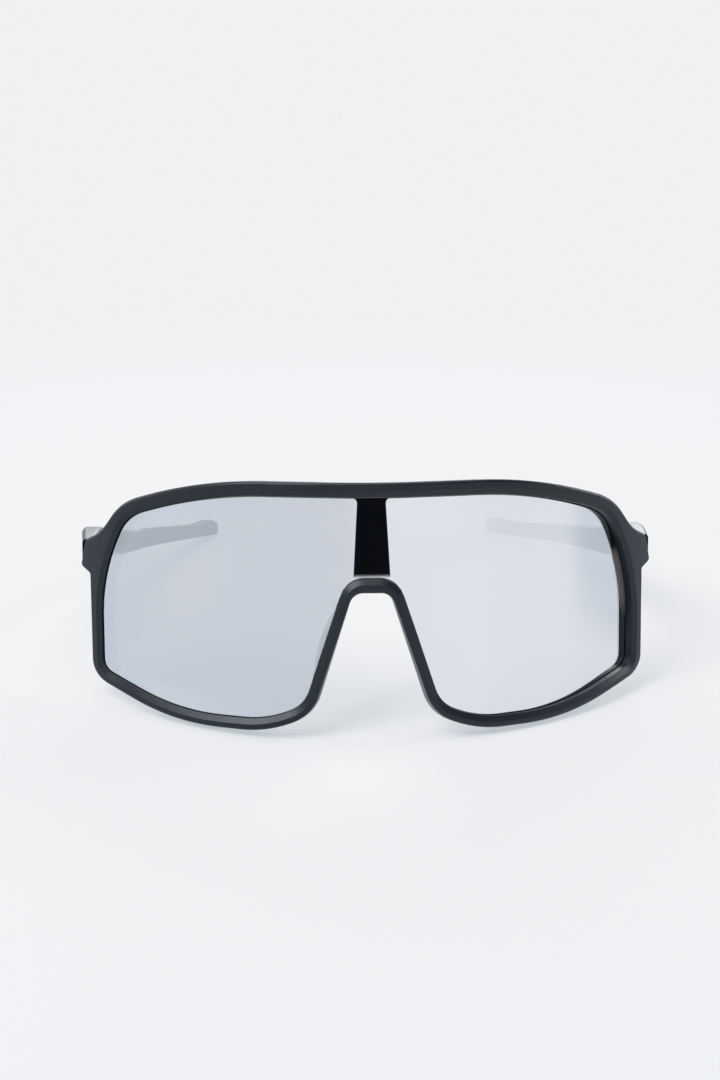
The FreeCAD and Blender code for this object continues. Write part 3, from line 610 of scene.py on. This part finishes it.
def tube(name: str, rings: np.ndarray, finish: Finish, turned: bool) -> bpy.types.Object:
    """Rings of points joined to a tube, with a fan of triangles on each end.

    Args:
        name: the piece's name.
        rings: ring after ring of points in metres.
        finish: its material.
        turned: whether the rings run the other way around, so that the faces are turned over.

    Returns:
        The new object.
    """
    layers, around = rings.shape[:2]
    count = layers * around
    ring = np.arange(around)
    after = (ring + 1) % around
    first_cap = np.stack([after, ring, np.full(around, count)], -1)
    last_cap = np.stack([count - around + ring, count - around + after, np.full(around, count + 1)], -1)
    faces = [grid_faces(layers, around, closed=True), first_cap, last_cap]
    if turned:
        faces = [group[:, ::-1] for group in faces]
    points = np.concatenate([rings.reshape(-1, 3), rings.mean(1)[[0, -1]]])
    return piece(name, points, faces, [finish])


@dataclass(frozen=True)
class Stance:
    """How the worn glasses lean on the table."""

    lean_deg: float = 16.227
    back_mm: float = -71.0963
    rise_mm: float = 47.5859

    @property
    def turn(self) -> np.ndarray:
        """The lean as a matrix for column vectors."""
        lean = math.radians(self.lean_deg)
        return np.array([[1.0, 0.0, 0.0],
                         [0.0, math.cos(lean), math.sin(lean)],
                         [0.0, -math.sin(lean), math.cos(lean)]])

    def stand(self, worn: np.ndarray) -> np.ndarray:
        """Points as worn, in millimetres, to metres on the table in the model's frame."""
        return (worn @ self.turn.T + np.array([0.0, self.back_mm, self.rise_mm])) * MILLIMETRE


@dataclass(frozen=True)
class Wrap:
    """The drum around which the front is bent, and the drum of the lens a little to its right."""

    radius: float = 90.0
    lens_shift: float = 1.1

    def lay(self, across: np.ndarray, up: np.ndarray, depth: np.ndarray | float) -> np.ndarray:
        """Points of the front view on the drum, square to it at a depth.

        The turn is the arc sine of the distance across over the radius, and the point lies at that turn
        on a drum smaller by the depth.

        Args:
            across: distance from the middle at the front of the rim.
            up: height.
            depth: how far behind the front of the rim.

        Returns:
            Worn points.
        """
        turn = np.arcsin(across / self.radius)
        reach = self.radius - depth
        return np.stack(np.broadcast_arrays(reach * np.sin(turn), self.radius - reach * np.cos(turn), up), -1)

    def lens_depth(self, across: np.ndarray, setback: float) -> np.ndarray:
        """How deep the drum of the lens lies behind the front of the rim.

        At each turn the drum's reach from the axis is the root of its radius squared less the square of the
        shift times the cosine, less the shift times the sine; the depth is what is left of the wrap's radius.

        Args:
            across: distance from the middle at the front of the rim.
            setback: depth of the drum in the middle.

        Returns:
            The depth at each place.
        """
        sine = across / self.radius
        leg = (self.radius - setback) ** 2 - self.lens_shift ** 2 * (1.0 - sine ** 2)
        return self.radius + self.lens_shift * sine - np.sqrt(leg)


def rounded_polygon(corners: np.ndarray, walls: np.ndarray, arc_points: int) -> np.ndarray:
    """A clockwise polygon moved inwards edge by edge, with every corner rounded by an arc.

    Each moved corner is where its two moved edges cross, and its arc starts at radius times the tangent of
    half the turn before it.

    Args:
        corners: across, up and radius of each corner.
        walls: how far each edge, from its corner on, moves inwards.
        arc_points: points on each arc.

    Returns:
        Points around the loop.
    """
    spots, radii = corners[:, :2], corners[:, 2]
    after = np.roll(spots, -1, 0) - spots
    after = after / np.linalg.norm(after, axis=1, keepdims=True)
    before = np.roll(after, 1, 0)
    inward = np.stack([after[:, 1], -after[:, 0]], 1)
    start = spots + np.roll(inward, 1, 0) * np.roll(walls, 1)[:, None]
    target = spots + inward * walls[:, None]
    gap = target - start
    cross = before[:, 0] * after[:, 1] - before[:, 1] * after[:, 0]
    run = (gap[:, 0] * after[:, 1] - gap[:, 1] * after[:, 0]) / cross
    moved = start + before * run[:, None]
    turn = np.arctan2(cross, (before * after).sum(1))
    trim = radii * np.abs(np.tan(turn / 2))
    normal = np.stack([-before[:, 1], before[:, 0]], 1) * np.sign(turn)[:, None]
    centre = moved - before * trim[:, None] + normal * radii[:, None]
    spoke = -normal * radii[:, None]
    angle = turn[:, None] * np.linspace(0.0, 1.0, arc_points)
    cosine, sine = np.cos(angle), np.sin(angle)
    across, up = spoke[:, :1], spoke[:, 1:]
    arc = np.stack([across * cosine - up * sine, across * sine + up * cosine], -1)
    return (centre[:, None, :] + arc).reshape(-1, 2)


def evenly(loop: np.ndarray, count: int) -> np.ndarray:
    """The same closed loop with points at even distances.

    Args:
        loop: points around it.
        count: how many points it gets.

    Returns:
        The new points, from the same first one on.
    """
    closed = np.concatenate([loop, loop[:1]])
    run = np.concatenate([[0.0], np.linalg.norm(np.diff(closed, axis=0), axis=1).cumsum()])
    place = np.linspace(0.0, run[-1], count, endpoint=False)
    return np.stack([np.interp(place, run, closed[:, 0]), np.interp(place, run, closed[:, 1])], -1)


def ease(given: np.ndarray, ends: Span) -> np.ndarray:
    """A soft step of numbers, from 0 at the first end to 1 at the second, as three squares less two cubes.

    Args:
        given: the numbers.
        ends: where the step begins and where it ends.

    Returns:
        The share for each number.
    """
    share = np.clip((given - ends[0]) / (ends[1] - ends[0]), 0.0, 1.0)
    return share ** 2 * (3.0 - 2.0 * share)


@dataclass
class Lens:
    """The one-piece shield lens, wrapped, with its mirror coat in front and smoke tint behind."""

    stance: Stance
    wrap: Wrap
    setback: float = 1.9
    thickness: float = 2.0
    bite: float = 0.9
    columns: int = 241
    rows: int = 81
    edge_points: int = 900
    arc_points: int = 24
    # Width of the uncoated border that is painted with the groove's shade; it widens on the left side, where
    # painted light of the rim's wall shows.
    bare: float = 0.32
    bare_side: float = 1.6
    side_from: Span = (50.0, 60.0)
    side_low: Span = (-25.0, -15.0)
    side_high: Span = (4.0, -6.0)
    # Heights below which the painted light of the rim's wall is shown on the left side.
    wall_light_high: Span = (-2.0, -5.0)
    cover_at: tuple[float, ...] = (-3.0, 3.0, 26.0, 34.0, 50.0, 62.0)
    cover: tuple[float, ...] = (0.66, 0.95, 0.95, 0.87, 0.87, 0.74)
    edge_cover: float = 0.95
    edge_side: Span = (-20.0, -45.0)
    edge_band: Span = (4.4, 2.8)
    arm_high: Span = (2.6, 1.5)
    arm_low: Span = (-4.4, -3.2)
    end_share: float = 0.9996
    brow: Spot = (0.0, 13.7, 403.6)
    half: tuple[Spot, ...] = (
        (41.7, 14.74, 100.4), (61.9, 9.3, 9.5), (70.45, -8.0, 47.5), (70.0, -34.75, 4.0),
        (48.6, -44.97, 55.2), (26.0, -46.55, 26.2), (14.78, -42.5, 7.95), (4.69, -12.9, 6.05))
    walls: tuple[float, ...] = (3.6, 2.5, 2.5, 2.8, 2.8, 2.8, 2.55)
    arch_wall: float = 3.4

    def edge(self) -> np.ndarray:
        """The lens outline from the front, inside the groove of the rim.

        Returns:
            Across and up of points around the lens.
        """
        half = np.array(self.half)
        other = half[::-1] * np.array([-1.0, 1.0, 1.0])
        corners = np.concatenate([[self.brow], half, other])
        brow_wall = self.walls[0]
        walls = np.array([brow_wall, *self.walls, self.arch_wall, *self.walls[::-1], brow_wall])
        hollow = np.zeros(len(corners), dtype=bool)
        hollow[[0, len(half), len(half) + 1]] = True
        corners[:, 2] += np.where(hollow, -self.bite, self.bite)
        return rounded_polygon(corners, walls - self.bite, self.arc_points)

    def coat(self, flat: np.ndarray, edge: np.ndarray) -> dict[str, np.ndarray]:
        """What the mesh keeps about the coat at each point, on the front and again on the back.

        The distance from the edge of the coat is that from the nearest of many points on the lens edge, less
        the bite of the groove and the uncoated border, which is painted with the groove's shade; on the left
        side it is wider, and lower down it carries painted light of the rim's inner wall. The coat covers
        more on the left, and along the edge of the right side but for the height of the arm.

        Args:
            flat: across and up of each point.
            edge: points around the lens.

        Returns:
            Named numbers for the mesh.
        """
        across, up = flat.T
        ring = evenly(edge, self.edge_points)
        away = np.linalg.norm(flat[:, None] - ring, axis=2)
        nearest = ring[away.argmin(1)]
        side = ease(nearest[:, 0], self.side_from) * ease(nearest[:, 1], self.side_low)
        wide = side * ease(nearest[:, 1], self.side_high)
        inset = away.min(1) - self.bite - self.bare - self.bare_side * wide
        thin = np.interp(across, self.cover_at, self.cover)
        arm = ease(up, self.arm_high) * ease(up, self.arm_low)
        thick = ease(inset, self.edge_band) * ease(across, self.edge_side) * (1.0 - arm)
        cover = thin + (self.edge_cover - thin) * thick
        # Share of painted light of the rim's inner wall: on the left side, lower down.
        painted_wall_light = side * ease(nearest[:, 1], self.wall_light_high)
        return {INSET: np.tile(inset, 2), COVER: np.tile(cover, 2), WALL_LIGHT: np.tile(painted_wall_light, 2)}

    def build(self) -> bpy.types.Object:
        """The lens as columns from its lower to its upper edge, front and back, closed around the edge.

        The columns crowd towards both ends by a sine, and so do the rows towards both edges.

        Returns:
            The lens object.
        """
        edge = self.edge()
        last, first = int(edge[:, 0].argmax()), int(edge[:, 0].argmin())
        lower = edge[last:first + 1][::-1]
        upper = np.concatenate([edge[first:], edge[:last + 1]])
        share = np.linspace(-1.0, 1.0, self.columns)
        across = edge[last, 0] * self.end_share * np.sin(share * math.pi / 2)
        bottom = np.interp(across, lower[:, 0], lower[:, 1])
        top = np.interp(across, upper[:, 0], upper[:, 1])
        climb = 0.5 + 0.5 * np.sin(np.linspace(-1.0, 1.0, self.rows) * math.pi / 2)[:, None]
        up = bottom + (top - bottom) * climb
        across = np.broadcast_to(across, up.shape)
        front = self.wrap.lay(across, up, self.wrap.lens_depth(across, self.setback))
        back = self.wrap.lay(across, up, self.wrap.lens_depth(across, self.setback + self.thickness))
        points, faces = closed_sheet(front, back)
        numbers = self.coat(np.stack([across, up], -1).reshape(-1, 2), edge)
        finishes = [MirrorCoat(), SmokeLens()]
        return piece("mirror_lens", self.stance.stand(points), faces, finishes, [0, 1, 1], numbers)


@dataclass
class CentreStrip:
    """The black strip on the lens: a crowned bar that widens downwards and flares at the brow."""

    stance: Stance
    wrap: Wrap
    setback: float = 1.9
    thickness: float = 1.2
    sink: float = 0.03
    top: float = 10.08
    foot: float = -9.35
    top_half: float = 3.5
    foot_half: float = 4.6
    flare: float = 1.4
    roll: float = 0.4
    crowding: float = 4.0
    crown_power: float = 10.0
    crown_round: float = 0.4
    columns: int = 41
    rows: int = 81

    def build(self) -> bpy.types.Object:
        """The strip as a grid of heights over the lens, closed against it.

        The height is a superellipse across the strip, and a quarter circle over the last stretch of its foot.
        The rows crowd towards the foot by a cosine times one less a power.

        Returns:
            The strip object.
        """
        side = np.sin(np.linspace(-1.0, 1.0, self.columns) * math.pi / 2)
        share = np.linspace(0.0, 1.0, self.rows)
        climb = 1.0 - np.cos(share * math.pi / 2) * (1.0 - share ** self.crowding)
        run = self.foot + (self.top - self.foot) * climb
        fall = (self.top - run) / (self.top - self.foot)
        half = self.top_half + (self.foot_half - self.top_half) * fall
        from_top = np.clip(1.0 - (self.top - run) / self.flare, 0.0, 1.0)
        half = half + self.flare * (1.0 - np.sqrt(1.0 - from_top ** 2))
        from_foot = np.clip(1.0 - (run - self.foot) / self.roll, 0.0, 1.0)
        arched = (1.0 - np.abs(side) ** self.crown_power) ** self.crown_round
        crown = np.sqrt(1.0 - from_foot ** 2)[:, None] * arched
        across, up = half[:, None] * side, np.broadcast_to(run[:, None], (self.rows, self.columns))
        bed = self.wrap.lens_depth(across, self.setback) + self.sink
        front = self.wrap.lay(across, up, bed - self.thickness * crown)
        back = self.wrap.lay(across, up, bed)
        points, faces = closed_sheet(front, back)
        numbers = {INSET: np.tile(up.ravel() - self.foot, 2)}
        return piece("centre_strip", self.stance.stand(points), faces, [PolishedBlack()], numbers=numbers)


@dataclass
class NosePad:
    """A splayed silicone blade behind the rim, beside the nose, with fine ribs on the side of the nose."""

    stance: Stance
    wrap: Wrap
    side: Side
    arch: Span = (4.69, -12.9)
    nostril: Span = (14.78, -42.5)
    level: float = -25.6
    rim_half: float = 1.275
    rim_depth: float = 5.2
    height: float = 24.0
    root_width: float = 2.6
    edge_width: float = 2.7
    bulge_radius: float = 26.0
    end_round: float = 0.7
    splay: float = 0.9
    depth: float = 6.5
    edge_round: float = 0.4
    straight_share: float = 0.7
    seat_gap: float = 0.02
    rib_depth: float = 0.10
    rib_pitch: float = 1.5
    rib_edge: float = 0.3
    rib_rise: float = 4.0
    seat_rounds: int = 3
    arc_points: int = 24
    around: int = 240
    layers: int = 30

    def loop(self, width: float, shift: float) -> np.ndarray:
        """The pad's outline at one depth: straight beside the nose and bowed on the other side.

        Args:
            width: how wide it is in the middle.
            shift: how far it is moved away from the nose.

        Returns:
            Points around it at even distances: away from the nose, and along the pad.
        """
        near = shift - self.root_width / 2
        far, high = near + width, self.height / 2
        corners = np.array([(near, high, self.end_round), (far, high / 2, self.bulge_radius),
                            (far, -high / 2, self.bulge_radius), (near, -high, self.end_round)])
        return evenly(rounded_polygon(corners, np.zeros(len(corners)), self.arc_points), self.around)

    def seat(self, across: np.ndarray | float) -> np.ndarray:
        """How deep the back of the rim lies at a distance from the middle."""
        return self.wrap.radius - np.sqrt((self.wrap.radius - self.rim_depth) ** 2 - across ** 2)

    def build(self) -> bpy.types.Object:
        """The pad as rings, from the rim to its rounded free edge.

        A ring is the outline between those of the root and the free edge; near the free edge it shrinks
        square to itself by a quarter circle. Its root follows the back of the rim, found in a few rounds.
        Ribs are a cosine along the pad, on the side of the nose.

        Returns:
            The pad object.
        """
        arch, nostril = np.array(self.arch), np.array(self.nostril)
        up_way = (arch - nostril) / np.linalg.norm(arch - nostril)
        out_way = np.array([up_way[1], -up_way[0]])
        share = (self.level - arch[1]) / (nostril[1] - arch[1])
        middle = arch + (nostril - arch) * share + out_way * self.rim_half
        root, edge = self.loop(self.root_width, 0.0), self.loop(self.edge_width, self.splay)
        along = np.roll(root, -1, 0) - np.roll(root, 1, 0)
        inward = np.stack([along[:, 1], -along[:, 0]], -1) / np.linalg.norm(along, axis=1, keepdims=True)
        rise = np.linspace(0.0, 1.0, self.layers)[:, None]
        bent = np.clip((rise - self.straight_share) / (1.0 - self.straight_share), 0.0, 1.0) * math.pi / 2
        climb = np.clip(rise / self.straight_share, 0.0, 1.0)
        end = self.rim_depth + self.depth - self.edge_round
        bed = self.seat(middle[0]) + self.seat_gap
        for _ in range(self.seat_rounds):
            deep = bed + (end - bed) * climb + self.edge_round * np.sin(bent)
            lofted = ((deep - self.rim_depth / 2) / (self.rim_depth / 2 + self.depth))[..., None]
            shape = root + (edge - root) * lofted
            flat = middle + shape[..., 1:] * up_way + shape[..., :1] * out_way
            bed = self.seat(flat[..., 0]) + self.seat_gap
        straight = np.clip(1.0 - (root[:, 0] + self.root_width / 2) / self.rib_edge, 0.0, 1.0)
        ribs = 0.5 - 0.5 * np.cos(2 * math.pi * root[:, 1] / self.rib_pitch)
        sunk = self.rib_depth * ribs * straight * np.clip(climb * self.rib_rise, 0.0, 1.0) * np.cos(bent)
        shrink = self.edge_round * (1.0 - np.cos(bent))
        shape = shape + inward * (shrink + sunk)[..., None]
        flat = middle + shape[..., 1:] * up_way + shape[..., :1] * out_way
        worn = np.stack(np.broadcast_arrays(flat[..., 0] * self.side.value, deep, flat[..., 1]), -1)
        return tube(f"silicone_pad_{self.side.word}", self.stance.stand(worn), MilkySilicone(),
                    self.side is Side.LEFT)


@dataclass
class EarGrip:
    """The rubber sleeve at the end of a temple, with shallow moulded grooves."""

    stance: Stance
    side: Side
    hinge: Spot = (67.2146, 41.5135, -3.75)
    length: float = 118.0
    grip_length: float = 42.0
    edge_round: float = 1.0
    above: tuple[Spot, ...] = (
        (1.8, -13.2, 0.0), (1.8, 64.804, 125.6), (-27.233, 116.278, 1.56), (-24.3, 118.0, 1.56),
        (6.2, 66.0, 130.0), (6.9, 18.0, 150.0), (4.4, -13.2, 0.0))
    beside: tuple[Spot, ...] = (
        (-13.2, 2.35, 0.0), (18.0, 6.4, 150.0), (58.0, 3.2, 144.0), (106.0, 3.65, 14.4), (113.2, 5.0, 4.8),
        (118.0, 3.4, 1.6), (118.0, 0.3, 1.6), (52.0, -4.1, 160.0), (-13.2, -3.1, 0.0))
    play: float = 0.09
    least_half: float = 0.02
    squareness: float = 4.2
    groove_depth: float = 0.16
    groove_pitch: float = 3.0
    groove_power: int = 3
    groove_start: float = 9.0
    groove_end: float = 29.0
    groove_fade: float = 2.0
    arc_points: int = 48
    stations: int = 260
    around: int = 96

    def outline(self, corners: tuple[Spot, ...]) -> np.ndarray:
        """The rounded loop of the arm in one of its views."""
        return rounded_polygon(np.array(corners), np.zeros(len(corners)), self.arc_points)

    def bounds(self, corners: tuple[Spot, ...], run: int, back: np.ndarray) -> tuple[np.ndarray, np.ndarray]:
        """Both sides of the arm in one of its views.

        Args:
            corners: the rounded outline in that view.
            run: which of its two numbers is the distance behind the hinge.
            back: where the sides are read.

        Returns:
            The side that the outline starts along, and the other one.
        """
        loop = self.outline(corners)
        tip = int(loop[:, run].argmax())
        first, second = (np.interp(back, part[:, run], part[:, 1 - run])
                         for part in (loop[:tip + 1], loop[:tip - 1:-1]))
        return first, second

    def build(self) -> bpy.types.Object:
        """The sleeve as rounded rectangles along the temple, closed at the front and at the tip.

        A section is a superellipse between the two sides and the top and bottom; where it is slimmer than its
        edge round, its top and bottom come closer by a quarter circle. Grooves are powers of a cosine around
        it, and fade out at both ends of their stretch.

        Returns:
            The grip object.
        """
        start = self.length - self.grip_length
        reach = self.outline(self.above)[:, 1].max() - self.play - start
        along = reach * np.sin(np.linspace(0.0, 1.0, self.stations) * math.pi / 2)
        back = start + along
        inner, outer = self.bounds(self.above, 1, back)
        top, bottom = self.bounds(self.beside, 0, back)
        half_wide = np.maximum((outer - inner) / 2 - self.play, self.least_half)
        lack = np.clip(1.0 - half_wide / self.edge_round, 0.0, 1.0)
        half_high = (top - bottom) / 2 - self.play - self.edge_round * (1.0 - np.sqrt(1.0 - lack ** 2))
        grooved = np.clip((along - self.groove_start) / self.groove_fade, 0.0, 1.0)
        grooved = grooved * np.clip((self.groove_end - along) / self.groove_fade, 0.0, 1.0)
        wave = (0.5 - 0.5 * np.cos(2 * math.pi * along / self.groove_pitch)) ** self.groove_power
        dip = self.groove_depth * wave * grooved
        turn = np.linspace(0.0, 2 * math.pi, self.around, endpoint=False)
        power = 2.0 / self.squareness
        wide = np.sign(np.cos(turn)) * np.abs(np.cos(turn)) ** power
        high = np.sign(np.sin(turn)) * np.abs(np.sin(turn)) ** power
        across = ((inner + outer) / 2)[:, None] + (half_wide - dip)[:, None] * wide
        up = ((top + bottom) / 2)[:, None] + (half_high - dip)[:, None] * high
        worn = np.stack(np.broadcast_arrays(across, back[:, None], up), -1) + np.array(self.hinge)
        worn = worn * np.array([self.side.value, 1.0, 1.0])
        return tube(f"rubber_grip_{self.side.word}", self.stance.stand(worn), SoftRubber(),
                    self.side is Side.RIGHT)


@dataclass
class Rigid:
    """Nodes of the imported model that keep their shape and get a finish."""

    finishes: dict[str, Finish] = field(default_factory=lambda: {
        "front_frame": MouldedBlack(),
        "temple": MouldedBlack(),
        "front_hinge_leaf": BrushedSteel(),
        "temple_hinge_leaf": BrushedSteel(),
        "front_leaf_screws": TurnedSteel(),
        "temple_leaf_screws": TurnedSteel(),
        "hinge_screw": TurnedSteel(),
        "shield_lens": SmokeLens(),
        "bridge_strip": PolishedBlack(),
        "nose_pad": MilkySilicone(),
        "ear_grip": SoftRubber(),
    })

    def dress(self, nodes: dict[str, bpy.types.Object]) -> None:
        """Give every node the finish of its kind.

        Args:
            nodes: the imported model's objects by name.
        """
        for name, node in nodes.items():
            kind = name.removesuffix("_left").removesuffix("_right")
            node.data.materials.clear()
            node.data.materials.append(self.finishes[kind].material())
            LOG.info("%s has the finish %s", name, self.finishes[kind].name)


@dataclass(frozen=True)
class Lamp:
    """A soft round lamp: where it hangs, how wide it is and its power."""

    name: str
    place: Spot
    size: float
    watts: float

    def hang(self, target: Spot) -> None:
        """Add the lamp to the scene.

        Args:
            target: what it points at.
        """
        data = bpy.data.lights.new(self.name, "AREA")
        data.shape = "DISK"
        data.size = self.size
        data.energy = self.watts
        made = bpy.data.objects.new(self.name, data)
        made.location = self.place
        made.rotation_euler = (Vector(target) - Vector(self.place)).to_track_quat("-Z", "Y").to_euler()
        bpy.context.scene.collection.objects.link(made)


@dataclass
class Studio:
    """Pale floor, soft light and the surroundings that the mirror lens shows."""

    floor_half: float = 6.0
    floor_colour: Colour = rgba(0.86, 0.87, 0.88)
    floor_warm: Colour = rgba(0.905, 0.79, 0.75)
    floor_cool: Colour = rgba(0.830, 0.920, 0.975)
    floor_shown: Colour = rgba(0.868, 0.875, 0.893)
    glow_near: float = 0.58
    glow_reach: Span = (0.15, 0.36)
    table_reach: Span = (0.26, 0.42)
    table_back: Span = (-0.17, -0.11)
    pale: Colour = rgba(0.90, 0.95, 1.0)
    room: Colour = rgba(0.680, 0.720, 0.785)
    wall: Colour = rgba(0.845, 0.870, 0.895)
    wall_deg: tuple[float, ...] = (-8.0, 8.0, 74.0, 86.0)
    beside_deg: Span = (100.0, 114.0)
    ceiling: Colour = rgba(0.10, 0.12, 0.16)
    ceiling_rise: Span = (0.31, 0.44)
    overhead_rise: Span = (0.84, 0.96)
    window_back: Span = (0.35, 0.8)
    window_rise: Span = (0.05, 0.25)
    daylight: Colour = rgba(0.11, 0.12, 0.135)
    aim: Spot = (0.0, -0.03, 0.03)
    lamps: tuple[Lamp, ...] = (
        Lamp("upper_left", (-0.62, -0.50, 1.10), 0.8, 11.0),
        Lamp("overhead", (0.10, -0.12, 1.30), 0.9, 3.0),
        Lamp("behind", (0.16, 1.15, 0.45), 0.9, 7.5),
        Lamp("left_side", (-1.10, 0.45, 0.55), 0.8, 3.5),
        Lamp("right_side", (1.10, 0.45, 0.55), 0.8, 6.0),
    )

    def floor(self) -> bpy.types.Object:
        """A plain pale floor under the glasses.

        Returns:
            The floor object.
        """
        half = self.floor_half
        points = np.array([[-half, -half, 0.0], [half, -half, 0.0], [half, half, 0.0], [-half, half, 0.0]])
        mesh = bpy.data.meshes.new("floor")
        mesh.from_pydata(points, [], [[0, 1, 2, 3]])
        mesh.materials.append(self.floor_material())
        made = bpy.data.objects.new("floor", mesh)
        bpy.context.scene.collection.objects.link(made)
        return made

    def mirror_view(self, book: NodeBook, x: Val, y: Val) -> Val:
        """What a mirror shows in a level direction: a pale room with a brighter wall on the camera's right.

        Args:
            book: the tree that it is worked out in.
            x: the direction's share to the wearer's left.
            y: its share to the back.

        Returns:
            The colour that way.
        """
        bearing = x.math(Op.ARCTAN2, x, 0.0 - y)
        rise, full, fall, end = (math.radians(turn) for turn in self.wall_deg)
        share = bearing.step(rise, full) * bearing.step(fall, end, 1.0, 0.0)
        return book.mix(share, self.room, self.wall)

    def floor_material(self) -> bpy.types.Material:
        """A floor that keeps the shadows of the glasses and turns an even pale colour further off.

        Near the glasses the camera sees lit warm paper mixed with a cool glow, so that shadows are bluish.
        Mirrors show the table in front of the glasses pale, and the room's view beyond it.

        Returns:
            The floor's material.
        """
        made = bpy.data.materials.new("pale_floor")
        made.use_nodes = True
        book = NodeBook(made.node_tree)
        spot = book.spot()
        x, y, _ = book.axes(spot)
        camera, seen, mirrored = book.rays()
        colour = book.mix(camera, self.floor_colour, self.floor_warm)
        paper = book.add("ShaderNodeBsdfDiffuse", {}, {"Color": colour})
        away = book.add("ShaderNodeVectorMath", {"operation": "LENGTH"}, {0: spot}, "Value")
        far = away.step(*self.glow_reach)
        glow_colour = book.mix(far, self.floor_cool, self.floor_shown)
        glow = book.add("ShaderNodeEmission", {}, {"Color": glow_colour, "Strength": 1.0})
        share = self.glow_near + (1.0 - self.glow_near) * far
        glowing = book.add("ShaderNodeMixShader", {}, {0: share, 1: paper, 2: glow})
        shown = book.add("ShaderNodeMixShader", {}, {0: seen, 1: paper, 2: glowing})
        near = away.step(*self.table_reach, 1.0, 0.0) * y.step(*self.table_back, 1.0, 0.0)
        view_colour = book.mix(near, self.mirror_view(book, x, y), self.pale)
        view = book.add("ShaderNodeEmission", {}, {"Color": view_colour, "Strength": 1.0})
        mixed = book.add("ShaderNodeMixShader", {}, {0: mirrored, 1: shown, 2: view})
        book.add("ShaderNodeOutputMaterial", {}, {"Surface": mixed})
        return made

    def surroundings(self) -> None:
        """The room around the glasses.

        Mirrors show its level view, pale sides, a dark ceiling, and pale light overhead and high behind the
        glasses. The camera sees the colour of the far floor, and all else gets plain daylight.
        """
        world = bpy.data.worlds.new("studio")
        bpy.context.scene.world = world
        world.use_nodes = True
        book = NodeBook(world.node_tree)
        x, y, z = book.axes(book.add("ShaderNodeTexCoord", {}, {}, "Generated"))
        turned = x.math(Op.ARCTAN2, x, 0.0 - y).size()
        low, high = (math.radians(turn) for turn in self.beside_deg)
        level = book.mix(turned.step(low, high), self.mirror_view(book, x, y), self.pale)
        above = book.mix(z.step(*self.ceiling_rise), level, self.ceiling)
        above = book.mix(z.step(*self.overhead_rise), above, self.pale)
        window = y.step(*self.window_back) * z.step(*self.window_rise)
        _, seen, mirrored = book.rays()
        unseen = book.mix(mirrored, self.daylight, book.mix(window, above, self.pale))
        shown = book.mix(seen, unseen, self.floor_shown)
        light = book.add("ShaderNodeBackground", {}, {"Color": shown, "Strength": 1.0})
        book.add("ShaderNodeOutputWorld", {}, {"Surface": light})

    def build(self) -> None:
        """The floor, the room and the lamps."""
        self.floor()
        self.surroundings()
        for lamp in self.lamps:
            lamp.hang(self.aim)


@dataclass
class Viewpoint:
    """The camera, fitted to the outline of the glasses in the photograph."""

    stance: Stance
    distance: float = 600.0
    lens: float = 83.1
    sensor: float = 36.0
    yaw_deg: float = 1.96
    pitch_deg: float = 2.06
    roll_deg: float = -0.45
    slide: float = 2.88

    def build(self) -> None:
        """Place the camera: its own turn undone, then the lean of the glasses."""
        yaw, pitch, roll = (math.radians(a) for a in (self.yaw_deg, self.pitch_deg, self.roll_deg))
        turn = (Matrix.Rotation(roll, 3, "Y") @ Matrix.Rotation(pitch, 3, "X") @ Matrix.Rotation(yaw, 3, "Z"))
        back = np.array(turn).T
        lean = self.stance.turn
        place = self.stance.stand(back @ np.array([-self.slide, -self.distance, 0.0]))
        right, forward, up = (lean @ back).T
        data = bpy.data.cameras.new("photo_camera")
        data.lens = self.lens
        data.sensor_fit = "AUTO"
        data.sensor_width = self.sensor
        made = bpy.data.objects.new("photo_camera", data)
        pose = Matrix((right, up, -forward)).transposed().to_4x4()
        pose.translation = Vector(place)
        made.matrix_world = pose
        bpy.context.scene.collection.objects.link(made)
        bpy.context.scene.camera = made


def main() -> None:
    """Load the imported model, dress it, add the shaped pieces, and set up the studio."""
    logging.basicConfig(level=logging.INFO, format="%(message)s")
    for left_over in list(bpy.data.objects):
        bpy.data.objects.remove(left_over)
    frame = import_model()
    bpy.context.scene.view_settings.view_transform = "Standard"
    stance, wrap = Stance(), Wrap()
    Viewpoint(stance).build()
    Rigid().dress(frame["nodes"])
    makers: list[tuple[Callable[[], bpy.types.Object], str, Body, str]] = [
        (Lens(stance, wrap).build, "shield_lens", Body.FRONT, MirrorCoat().slot),
        (CentreStrip(stance, wrap).build, "bridge_strip", Body.FRONT, PolishedBlack().slot),
    ]
    for side in Side:
        pad, grip = NosePad(stance, wrap, side), EarGrip(stance, side)
        makers.append((pad.build, f"nose_pad_{side.word}", Body.FRONT, MilkySilicone().slot))
        makers.append((grip.build, f"ear_grip_{side.word}", ARM_OF[side], SoftRubber().slot))
    for build, node, body, slot in makers:
        made = build()
        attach(made, body.value)
        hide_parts(node)
        LOG.info("%s stands for %s on %s", made.name, node, body.value)
    Studio().build()


if __name__ == "__main__":
    main()
